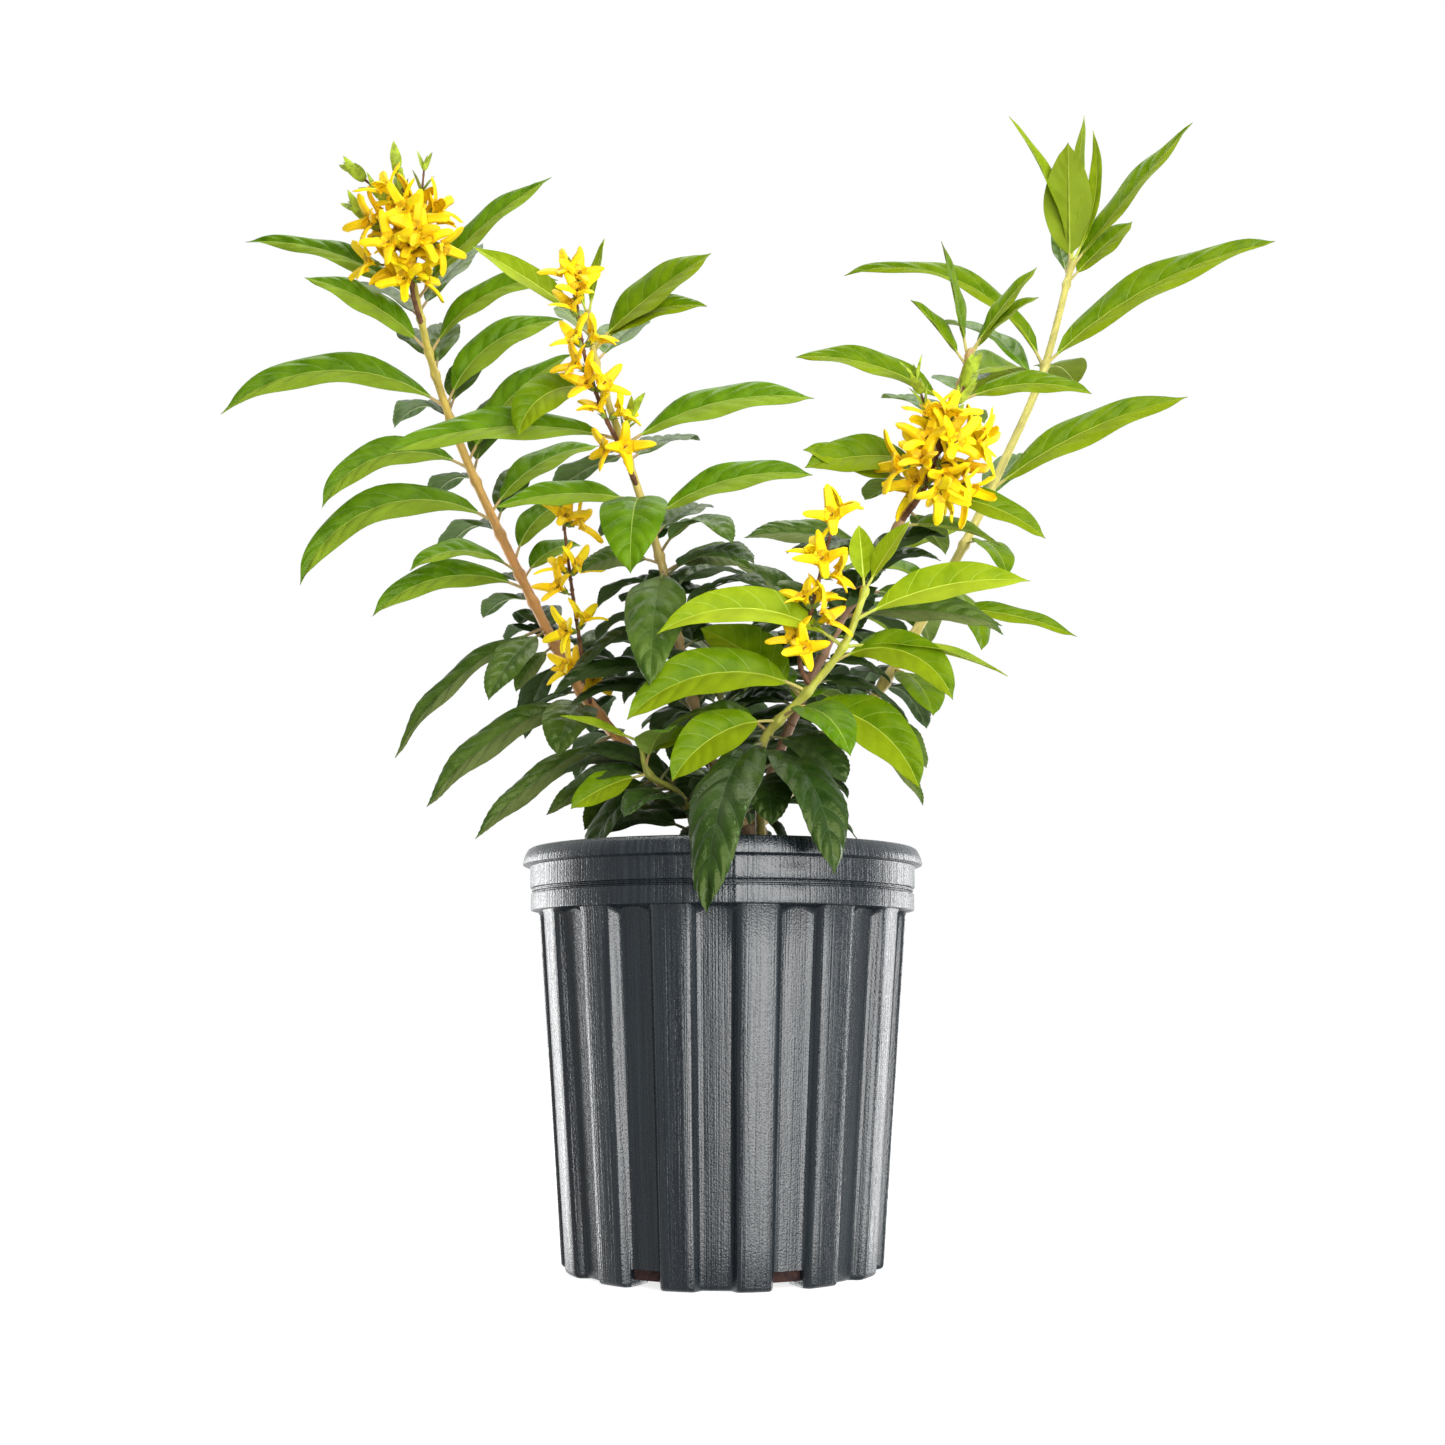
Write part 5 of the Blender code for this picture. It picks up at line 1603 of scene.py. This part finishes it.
def rib_finish(age, part, colour, roughness):
    finish = Finish("%s leaf, %s" % (age, part), colour, roughness)
    finish.colour(finish.ramp(finish.noise(RIB_PATCHES), (0.4, colour), (0.6, scaled(colour, 1.2))))
    return finish.material

leaf_finishes = {}
for age, (dark, light, under, painted_sheen, vein, rib, stalk) in LEAF_COLOURS.items():
    leaf_finishes[age] = [upper_finish(age, dark, light), lower_finish(age, under),
                          rib_finish(age, "veins", vein, 0.5), rib_finish(age, "midrib", rib, 0.55),
                          painted_sheen_finish(age, light, painted_sheen), rib_finish(age, "stalk", stalk, 0.55)]
UPPER, UNDER, VEIN, RIB, SKY_HALF, STEM = range(6)  # their numbers within an age
print("leaf finishes:", sum(len(finishes) for finishes in leaf_finishes.values()))

# %% [markdown]
# A blade knows its arc, its habit and its seeded draws, and answers where any place of its
# upper skin is. The skins, the rim and the midrib are then drawn from its answers.

# %% Blade
FULLER = 1.1  # than the coarse leaf's blade
WING = 0.95  # half width of the blade where the stalk enters it
SWEEP = (0.62, 0.88)  # how far forward the side veins run
SWEEP_CURVE = 1.25
MIDRIB_HALF = 0.38
HANGING_FOLD = 13.0
CURL_SPREAD = (0.6, 1.3)
TWIST_SPREAD = 6.0
WAVE_COUNT = 2.3
WAVE_SHIFT = 1.2  # by which the waves of the two edges differ
WAVE_ROOM = 2.0  # half width from which its edge has its full waves
QUILT_ROOM = 6.0  # half width from which the blade has its full quilting
QUILT_SHIFT = 0.06  # the bulges start a little beside the midrib
QUILT_ROUND = 0.7  # below 1 the bulges are plump
TOOTH_FROM = 0.22
TOOTH_FORWARD = 0.012

def bulge(share):
    """Height of the quilting at a place between two veins, from 0 to 1."""
    cell = (share - VEIN_FIRST) / (VEIN_LAST - VEIN_FIRST) * (VEIN_COUNT - 1)
    if not 0.0 <= cell <= VEIN_COUNT - 1:
        return 0.0
    return abs(sin(pi * cell)) ** QUILT_ROUND

def room(half, full):
    """A narrow place of the blade has room for a share of the relief only."""
    return min(1.0, half / full)

class Blade:
    """The blade of one leaf."""

    def __init__(self, base, row, age, draw):
        self.turn, rise, droop, self.length, self.face, self.width = row[1:]
        self.age = age
        self.quilting, curl, self.wave, self.tooth = HABITS[age]
        self.curl = curl * draw.uniform(*CURL_SPREAD)
        self.phase = draw.uniform(0.0, tau)
        self.twist = draw.uniform(-TWIST_SPREAD, TWIST_SPREAD)
        self.sweeps = {hand: draw.uniform(*SWEEP) for hand in (1, -1)}
        self.points, self.ways = leaf_arch(base, self.turn, rise, droop, self.length)
        self.stalk = min(STALK, self.length * 0.2)
        self.size = self.length / 100.0
        self.fold = radians(FOLD if self.face else HANGING_FOLD)

    def frame_at(self, share):
        """Place of the midrib, and the sideways and upward directions there."""
        place = (self.stalk + (self.length - self.stalk) * share) / self.length * ARCH_STEPS
        k = min(int(place), ARCH_STEPS - 1)
        point = self.points[k].lerp(self.points[k + 1], place - k)
        way = self.ways[k].lerp(self.ways[k + 1], place - k).normalized()
        side, up = leaf_sides(way, self.turn, self.face)
        roll = radians(self.twist * share)
        return point, turned(side, up, roll), turned(up, side, -roll)

    def surface(self, number, column, hand):
        """A point of the upper skin in a row, and the way up there. The hand is 1 or -1."""
        share = BLADE_ROWS[number]
        swept = share + self.sweeps[hand] * column ** SWEEP_CURVE * share * (1.0 - share)
        point, side, up = self.frame_at(swept)
        half = FULLER * self.width / 2.0 * blade_half_width(swept, self.age)
        half = max(half, WING * (1.0 - swept))
        rib = min(MIDRIB_HALF * (1.15 - swept), half * 0.5)
        away = rib + (half - rib) * column
        if column == 1.0 and share > TOOTH_FROM:
            away += self.tooth * TOOTH_ROWS[number]
            swept += TOOTH_FORWARD * self.tooth * TOOTH_ROWS[number]
            point, side, up = self.frame_at(swept)
        dome = sin(pi * min(column + QUILT_SHIFT, 1.0)) ** QUILT_ROUND
        waving = sin(tau * WAVE_COUNT * swept + self.phase + (WAVE_SHIFT if hand > 0 else 0.0))
        lift = away * sin(self.fold)
        lift -= self.curl * half * column ** 2
        lift += self.quilting * self.size * bulge(share) * dome * room(half, QUILT_ROOM)
        lift += self.wave * self.size * waving * column ** 2 * room(half, WAVE_ROOM)
        return point + side * hand * away * cos(self.fold) + up * lift, up

print("the real blade is", FULLER, "times as wide as the coarse one")

# %% Skins of a blade
BLADE_THICK = 0.38
RIM_THICK = 0.45
TILT_PLACE = 0.4
SKY_TILT = 0.35  # how steeply a leaf has to be turned for its lower half to get the painted sheen

def blade_points(blade):
    upper, lower = [], []
    for number in range(len(BLADE_ROWS)):
        for column, hand in BLADE_COLUMNS:
            point, up = blade.surface(number, column, hand)
            thin = BLADE_THICK * (RIM_THICK if column == 1.0 else 1.0)
            upper.append(point)
            lower.append(point - up * thin)
    return upper + lower + [blade.frame_at(1.0)[0]]

def blade_faces(age, tilt):
    """Faces of the two skins, of the rim and of the tip, and the finish of each."""
    across, count = len(BLADE_COLUMNS), len(BLADE_ROWS)
    under, middle = across * count, across // 2 - 1
    on_rib = VEIN if age in OLD_LEAVES else RIB
    faces, finishes = [], []

    def add(face, finish):
        faces.append(face)
        finishes.append(finish)

    for r in range(count - 1):
        for c in range(across - 1):
            a = r * across + c
            quad = (a, a + across, a + across + 1, a + 1)
            # the half turned to the sky gets the painted sheen finish
            sky_half = tilt > SKY_TILT if c < middle else tilt < -SKY_TILT
            blade = SKY_HALF if sky_half else UPPER
            add(quad[::-1], on_rib if c == middle else VEIN if VEIN_ROWS[r] and not sky_half else blade)
            add(tuple(under + i for i in quad), RIB if c == middle else UNDER)
        for c in (0, across - 1):
            a = r * across + c
            edge = (a, under + a, under + a + across, a + across)
            add(edge[::-1] if c == 0 else edge, VEIN)
    last, tip = (count - 1) * across, 2 * under
    for c in range(across - 1):
        add((last + c + 1, tip, last + c), UPPER)
        add((under + last + c, tip, under + last + c + 1), UNDER)
        add((c, c + 1, under + c + 1, under + c), RIB)
    add((last, tip, under + last), VEIN)
    add((under + last + across - 1, tip, last + across - 1), VEIN)
    return faces, finishes

print("faces of a blade:", len(blade_faces("young", 0.0)[0]))

# %% Stalk and midrib
STALK_SIDES = 7
STALK_STEPS = 3
STALK_TAPER = 0.16
RIB_STEPS = 10
RIB_RADIUS = 0.75
RIB_TAPER = 0.78
RIB_UNDER = 0.06

def add_stalk(heap, blade):
    by_size = 0.65 + 0.35 * blade.size
    line, radii = [blade.points[0] + blade.ways[0] * 0.2], [STALK_RADIUS * (0.7 + 0.35 * blade.size)]
    for step in range(1, STALK_STEPS + 1):
        k = round(blade.stalk * step / STALK_STEPS / blade.length * ARCH_STEPS)
        line.append(blade.points[k].copy())
        radii.append((STALK_RADIUS - STALK_TAPER * step / STALK_STEPS) * by_size)
    for step in range(1, RIB_STEPS):
        share = step / RIB_STEPS
        point, side, up = blade.frame_at(share)
        radius = RIB_RADIUS * (1.0 - RIB_TAPER * share) * by_size
        line.append(point - up * (radius + RIB_UNDER))
        radii.append(radius)
    heap.add(*tube(line[:STALK_STEPS + 1], radii[:STALK_STEPS + 1], STALK_SIDES), STEM)
    heap.add(*tube(line[STALK_STEPS:], radii[STALK_STEPS:], STALK_SIDES), RIB)

def fine_leaf(heap, base, row, age, draw):
    blade = Blade(base, row, age, draw)
    tilt = blade.frame_at(TILT_PLACE)[1].z
    heap.add(blade_points(blade), *blade_faces(age, tilt))
    add_stalk(heap, blade)

print("a stalk and midrib has", STALK_STEPS + RIB_STEPS, "rings")

# %% Dress the canes with leaves
RIM_ANGLE = 50.0  # where faces meet more sharply than this, the edge stays sharp

def leaves_of(name):
    """All leaves of a cane in one heap. Finishes are numbered on from age to age."""
    heap = Heap()
    draw = random.Random("fine leaves " + name)
    for kind, base, row in grown_leaves[name]:
        age = age_of(name, kind, row[0])
        first = len(heap.finishes)
        fine_leaf(heap, base, row, age, draw)
        shift = len(leaf_finishes[age]) * AGES.index(age)
        heap.finishes[first:] = [finish + shift for finish in heap.finishes[first:]]
    return heap

all_leaf_finishes = [finish for age in AGES for finish in leaf_finishes[age]]
for name in CANES:
    leaves = leaves_of(name).build(name + "_leaves", all_leaf_finishes)
    leaves.data.set_sharp_from_angle(angle=radians(RIM_ANGLE))
    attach(leaves, "root")
    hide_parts(name + "_foliage")
    print(name, "leaf faces:", len(leaves.data.polygons))

# %% [markdown]
# ## Blossom
#
# Forsythia blossom is four yellow straps on a short trumpet, held by a small green calyx on a
# brown bud shoot. Every petal is a closed skin again: a grid with a blunt, slightly notched
# end, folded lengthwise, bent and twisted by a seeded draw, since no two open alike. Those of
# the two clusters are broad and blunt, those of the slender twigs smaller and pointed. The
# throat is a deeper gold. The petals follow the coarse star that had room in the bush.

# %% Petal skins
PETAL_RISE = 0.9  # height of a petal's middle over its reach, near the coarse star's
PETAL_SAG = -0.46
PETAL_BEND = 0.09
PETAL_TWIST = 26.0
PETAL_FOLD = (0.02, 0.28)
PETAL_NOTCH = (0.00, 0.12)
PETAL_PLEAT = (0.06, 0.2)
CLUSTER_PETALS = dict(size=1.0, full=1.34, taper=(-0.3, 0.4), reach=(0.98, 1.18))
SLENDER_PETALS = dict(size=0.82, full=1.22, taper=(0.25, 0.85), reach=(1.00, 1.18))

def draw_petal(length, kind, draw):
    return dict(sag=PETAL_SAG + draw.uniform(-PETAL_BEND, PETAL_BEND),
                length=length * (kind["size"] * draw.uniform(*kind["reach"])),
                twist=radians(draw.uniform(-PETAL_TWIST, PETAL_TWIST)),
                fold=draw.uniform(*PETAL_FOLD), taper=draw.uniform(*kind["taper"]),
                notch=draw.uniform(*PETAL_NOTCH), pleat=draw.uniform(*PETAL_PLEAT), full=kind["full"])

PETAL_ROWS = 10
PETAL_COLUMNS = 6
PETAL_THICK = 0.34
PETAL_FOOT = 0.105  # where a petal leaves the throat, as a share of its length
END_ROUND = 0.1  # how far the corners of the end stay behind
NOTCH_HALF = 0.3
WAIST_AT = 0.45
FOOT_WIDE = 0.94
WAIST_NARROW = 0.22
END_FROM = 0.86  # from here on the petal narrows to its end
END_LENGTH = 0.18
EDGE_DOWN = 0.5
PLEATS = 3.0

def petal_place(habit, row, column):
    """Side, share, half width and lift of a place in a petal's grid."""
    side = 2.0 * column / PETAL_COLUMNS - 1.0
    end = 1.0 - END_ROUND * side ** 2 - habit["notch"] * exp(-(side / NOTCH_HALF) ** 2)
    share = row / PETAL_ROWS * end
    waist = sin(pi / 2 * min(share / WAIST_AT, 1.0)) ** 2
    widen = FOOT_WIDE - WAIST_NARROW * waist - habit["taper"] * max(share - WAIST_AT, 0.0)
    narrow = sqrt(max(1.0 - (max(row / PETAL_ROWS - END_FROM, 0.0) / END_LENGTH) ** 2, 0.0))
    half = habit["full"] * PETAL_WIDTH / 2.0 * widen * narrow
    lift = habit["fold"] * half * abs(side) - EDGE_DOWN * half * side ** 4
    lift += habit["pleat"] * cos(PLEATS * pi * side) * sin(pi * min(share + 0.1, 1.0))
    return side, share, half, lift

def petal_points(centre, axis, out, habit):
    across = axis.cross(out)
    length, sag = habit["length"], habit["sag"]
    upper, lower = [], []
    for row in range(PETAL_ROWS + 1):
        for column in range(PETAL_COLUMNS + 1):
            side, share, half, lift = petal_place(habit, row, column)
            reach = (PETAL_FOOT + (1.0 - PETAL_FOOT) * share) * length
            height = (PETAL_RISE * share + sag * share * share) * length
            normal = (axis - out * (PETAL_RISE + 2.0 * sag * share)).normalized()
            twist = habit["twist"] * share
            way, face = turned(across, normal, twist), turned(normal, across, -twist)
            point = centre + out * reach + axis * height + way * side * half + face * lift
            upper.append(point)
            lower.append(point - face * PETAL_THICK)
    return upper + lower

print("points of a petal:", 2 * (PETAL_ROWS + 1) * (PETAL_COLUMNS + 1))

# %% Petal faces
YELLOWS = 3  # tints of petals, which come first among the finishes of a blossom
GOLD, THROAT, CALYX_GREEN, SHOOT_BROWN, BUD_GREEN = range(YELLOWS, YELLOWS + 5)
GOLD_ROWS = 2

def petal_faces(tint):
    """Faces of the two skins and of the rim, and the finish of each."""
    across = PETAL_COLUMNS + 1
    under = across * (PETAL_ROWS + 1)
    faces, finishes = [], []
    for row in range(PETAL_ROWS):
        for column in range(PETAL_COLUMNS):
            a = row * across + column
            quad = (a, a + across, a + across + 1, a + 1)
            faces += [quad[::-1], tuple(under + i for i in quad)]
        for column in (0, PETAL_COLUMNS):
            a = row * across + column
            edge = (a, under + a, under + a + across, a + across)
            faces.append(edge[::-1] if column == 0 else edge)
        finishes += [GOLD if row < GOLD_ROWS else tint] * (2 * PETAL_COLUMNS + 2)
    last = PETAL_ROWS * across
    for column in range(PETAL_COLUMNS):
        a = last + column
        faces.append((column, column + 1, under + column + 1, under + column))
        faces.append((a + 1, a, under + a, under + a + 1))
        finishes += [GOLD, tint]
    return faces, finishes

print("faces of a petal:", len(petal_faces(0)[0]))

# %% [markdown]
# The trumpet and the calyx are rings about the blossom's axis. Four pointed lobes stand round
# the calyx, and two short stamens fill the throat.

# %% One blossom
TRUMPET = ((1.5, 0.75), (2.6, 0.85), (3.6, 1.15), (5.6, 1.35), (6.8, 1.9), (7.7, 2.7),  # distance and radius
           (8.7, 3.6), (9.5, 4.3), (9.6, 4.15), (8.9, 3.3), (8.0, 2.2))
TRUMPET_START = 1.0
TRUMPET_FLOOR = 1.6  # how far the bottom of the throat lies behind the star's middle
CALYX = ((0.0, 0.55), (1.4, 0.6), (1.9, 1.25), (2.8, 1.55), (3.6, 1.5))
CALYX_END = 3.2
TRUMPET_SIDES = 12
LOBE_PLACE = (2.4, 1.1)
LOBE_SIZE = (3.6, 1.9)
LOBE_LEAN = 0.22
LEAF_HOLLOW = 0.16  # how far the tip of a small leaf bends up, in lengths
STAMEN_PLACE = 5.0
STAMEN_LEAN = 0.18
STAMEN = ((0.0, 0.3), (2.6, 0.3), (3.6, 0.55))  # distance and radius

def round_profile(root, axis, profile):
    """Rings about an axis, from pairs of distance and radius."""
    side = axis.orthogonal().normalized()
    other = axis.cross(side)
    spokes = [turned(side, other, tau * k / TRUMPET_SIDES) for k in range(TRUMPET_SIDES)]
    return [[root + axis * distance + spoke * radius for spoke in spokes] for distance, radius in profile]

def slim_leaf(heap, base, way, up, length, width, finish, rows=5):
    """Add a small pointed leaf, a thick flat spindle: a calyx lobe or a bud's scale."""
    side = way.cross(up).normalized()
    up = side.cross(way).normalized()
    rings = []
    for row in range(1, rows):
        share = row / rows
        half = width / 2.0 * sin(pi * share ** 0.7) ** 0.8
        middle = base + way * length * share + up * length * LEAF_HOLLOW * share ** 2
        rings.append([middle + side * half, middle + up * half * 0.22 - side * half * 0.1,
                      middle - side * half, middle - up * (half * 0.3 + 0.12)])
    tip = base + way * length + up * length * LEAF_HOLLOW
    heap.add(*skin_rings(rings, base, tip), finish)

def fine_blossom(heap, pose, kind, draw):
    root, axis, spin, size = pose
    tint = draw.randrange(YELLOWS)
    centre = root + axis * CALYX_LENGTH
    for out in petal_ways(axis, spin):
        habit = draw_petal(PETAL_LENGTH * size, kind, draw)
        heap.add(petal_points(centre, axis, out, habit), *petal_faces(tint))
    trumpet, calyx = round_profile(root, axis, TRUMPET), round_profile(root, axis, CALYX)
    heap.add(*skin_rings(trumpet, root + axis * TRUMPET_START, centre - axis * TRUMPET_FLOOR), tint)
    heap.add(*skin_rings(calyx, root, root + axis * CALYX_END), CALYX_GREEN)
    for out in petal_ways(axis, spin, 0.5):
        lobe = root + axis * LOBE_PLACE[0] + out * LOBE_PLACE[1]
        slim_leaf(heap, lobe, (axis + out * LOBE_LEAN).normalized(), out, *LOBE_SIZE, CALYX_GREEN)
    for lean in (-STAMEN_LEAN, STAMEN_LEAN):
        way = (axis + axis.orthogonal().normalized() * lean).normalized()
        line = [root + axis * STAMEN_PLACE + way * distance for distance, radius in STAMEN]
        heap.add(*tube(line, [radius for distance, radius in STAMEN], 6), THROAT)

print("rings of a trumpet:", len(TRUMPET))

# %% [markdown]
# The clusters are denser than the coarse model could be, so more blossoms are tried after the
# leaves have grown. Each has to find room among all that is there.

# %% More blossoms in the clusters
EXTRA_BLOSSOMS = {  # by the height where the twig starts: how many, places along it, turn, lift, spur
    500: (14, (0.56, 1.0), 110.0, (-25.0, 60.0), (1.0, 15.0)),
    362: (14, (0.4, 1.0), 110.0, (-40.0, 50.0), (1.0, 15.0)),
    376: (3, (0.2, 1.0), 70.0, (0.0, 50.0), (0.5, 4.0)),
    279: (2, (0.2, 1.0), 70.0, (0.0, 50.0), (0.5, 4.0)),
    272: (2, (0.3, 1.0), 70.0, (0.0, 50.0), (0.5, 4.0)),
}
EXTRA_TRIES = 60
EXTRA_ROOM = 0.66  # the size of the star that has to find room
spurs = {name: [] for name in CANES}

def extra_blossom(twig, draw, along, spread, lifts, reach):
    """One more blossom on a short spur. True where it found room."""
    name, line = twig["cane"], twig_line(twig)
    for attempt in range(EXTRA_TRIES):
        start = place_along(line, draw.uniform(*along))
        turn = TO_VIEWER + draw.uniform(-1.0, 1.0) * spread
        lift = draw.uniform(*lifts)
        root = start + way_at(turn, lift) * draw.uniform(*reach)
        root, axis, spin, size = try_blossom((root, turn, lift), draw)
        petals = star_solid(root, axis, spin, size * EXTRA_ROOM)
        if room_for(name, petals, own=True):
            grow_blossom(name, (root, axis, spin, size), petals)
            spurs[name].append((start, root))
            return True
    return False

for twig in TWIGS:
    count, *ranges = EXTRA_BLOSSOMS[twig["start"]]
    draw = random.Random("extra %s %d" % (twig["cane"], twig["start"]))
    found = sum(extra_blossom(twig, draw, *ranges) for number in range(count))
    print("extra blossoms of the twig at", twig["start"], ":", found)

# %% Blossom finishes
PETAL_COLOURS = ((0.9, 0.62, 0.002), (0.94, 0.7, 0.004), (0.85, 0.54, 0.001))
PETAL_PATCHES = 160.0
MOTTLES = 260.0

def petal_finish(number, colour):
    finish = Finish("yellow petal %d" % (number + 1), colour, 0.55, Specular_IOR_Level=0.25)
    light = (colour[0] * 1.08, colour[1] * 1.15, colour[2])
    finish.colour(finish.ramp(finish.noise(PETAL_PATCHES), (0.38, colour), (0.62, light)))
    finish.bump(finish.noise(1200.0), 0.05)
    return finish.material

def mottled(name, colour, roughness):
    finish = Finish(name, colour, roughness, Specular_IOR_Level=0.25)
    dark, light = scaled(colour, 0.62), scaled(colour, 1.3)
    finish.colour(finish.ramp(finish.noise(MOTTLES), (0.36, dark), (0.64, light)))
    finish.bump(finish.noise(MOTTLES * 4.0), 0.1)
    return finish.material

blossom_finishes = [petal_finish(number, colour) for number, colour in enumerate(PETAL_COLOURS)]
blossom_finishes += [mottled("deep gold throat", (0.82, 0.48, 0.002), 0.6),
                     mottled("olive throat", (0.3, 0.15, 0.01), 0.7),
                     mottled("green calyx", (0.18, 0.25, 0.04), 0.6),
                     mottled("brown bud shoot", (0.15, 0.07, 0.035), 0.8),
                     mottled("leafy bud", (0.31, 0.41, 0.025), 0.6)]
print("blossom finishes:", len(blossom_finishes))

# %% [markdown]
# ## Bud shoots
#
# The blossom sits on thin brown shoots, ringed with scars where scales fell off. Some shoots
# go on past the blossom and end in tufts of small green leaves that are about to open.

# %% Shoots and buds
SHOOT_STEP = 0.9
SHOOT_SIDES = 9
SHOOT_TAPER = (0.8, 0.55)  # of BUD_RADIUS, at the start and the end of a bud's shoot
SCAR_EVERY = 5.2
SCAR_HEIGHT = 0.35
SCAR_HALF = 0.8
BUD_PAIRS = 4
BUD_FROM = 0.35
BUD_LAST = 0.97
BUD_OPEN = (0.25, 0.75)
BUD_SIZE = (0.8, 1.25)
MORE_BUDS = [  # shoot start and end, cane
    ((107, -47, 394), (121, -49, 430), "right"), ((106, -46, 391), (95, -50, 427), "right"),
    ((-50, -56, 392), (-44, -58, 408), "centre"), ((-71, -74, 464), (-72, -76, 474), "centre"),
    ((-80, -12, 361), (-81, -13, 370), "left"), ((52, -76, 346), (53, -77, 355), "low_right"),
]

def shoot_mesh(heap, line, first, last, draw):
    points = even_line(line, SHOOT_STEP)
    radii = []
    for k in range(len(points)):
        scar = SCAR_HEIGHT * exp(-((k * SHOOT_STEP % SCAR_EVERY) / SCAR_HALF) ** 2)
        radii.append(between(first, last, k / (len(points) - 1)) + scar * draw.uniform(0.6, 1.2))
    heap.add(*tube(points, radii, SHOOT_SIDES), SHOOT_BROWN)

def leafy_bud(heap, start, end, draw):
    """A tuft of small leaves in crossed pairs, up the last part of a shoot."""
    along = (end - start).normalized()
    length = (end - start).length
    for pair in range(BUD_PAIRS):
        share = BUD_FROM + (1.0 - BUD_FROM) * pair / (BUD_PAIRS - 1)
        base = start.lerp(end, min(share, BUD_LAST))
        side = along.orthogonal().normalized()
        side = turned(side, along.cross(side), radians(90.0 * pair + draw.uniform(-25, 25)))
        for hand in (1, -1):
            open_out = draw.uniform(*BUD_OPEN) * (1.0 - 0.5 * share)
            way = (along + side * hand * open_out).normalized()
            size = min(BUD_LENGTH, length * 0.6) * draw.uniform(*BUD_SIZE)
            slim_leaf(heap, base, way, side * hand, size, size * 0.42, BUD_GREEN, rows=8)
    size = min(BUD_LENGTH, length * 0.5) * 0.7
    slim_leaf(heap, end - along, along, along.orthogonal(), size, 3.0, BUD_GREEN)

print("shoots with a leafy bud:", len(BUD_SHOOTS) + len(MORE_BUDS))

# %% Dress the twigs
SPUR_RADII = [0.7, 0.6, 0.6]
SPUR_SIDES = 7
SPUR_BOW = UP * 0.6

def petal_kind(name, root):
    """Broad petals in a cluster, small pointed ones on a slender twig: the nearest twig decides."""
    twigs = [twig for twig in TWIGS if twig["cane"] == name]
    near = min(twigs, key=lambda twig: min((root - point).length for point in twig_line(twig)))
    return CLUSTER_PETALS if near["around"] > 2 else SLENDER_PETALS

def blossoms_of(name):
    heap = Heap()
    draw = random.Random("blossom detail " + name)
    for pose in grown_blossoms[name]:
        fine_blossom(heap, pose, petal_kind(name, pose[0]), draw)
    return heap

def shoots_of(name):
    heap = Heap()
    draw = random.Random("shoots " + name)
    for twig in TWIGS:
        if twig["cane"] == name:
            shoot_mesh(heap, twig_line(twig), *twig["radius"], draw)
    for start, root in spurs[name]:
        line = [start, start.lerp(root, 0.5) + SPUR_BOW, root]
        heap.add(*tube(line, SPUR_RADII, SPUR_SIDES), SHOOT_BROWN)
    buds = list(BUD_SHOOTS) if name == "left" else []
    buds += [(start, end) for start, end, cane in MORE_BUDS if cane == name]
    for start, end in buds:
        start, end = Vector(start), Vector(end)
        shoot_mesh(heap, [start, end], *(BUD_RADIUS * taper for taper in SHOOT_TAPER), draw)
        leafy_bud(heap, start, end, draw)
    return heap

for name in CANES:
    if grown_blossoms[name]:
        for part, heap in (("blossom", blossoms_of(name)), ("bud_shoots", shoots_of(name))):
            piece = heap.build("%s_%s" % (name, part), blossom_finishes)
            piece.data.set_sharp_from_angle(angle=radians(RIM_ANGLE))
            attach(piece, "root")
            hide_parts(name + "_foliage")
            print(piece.name, "faces:", len(piece.data.polygons))
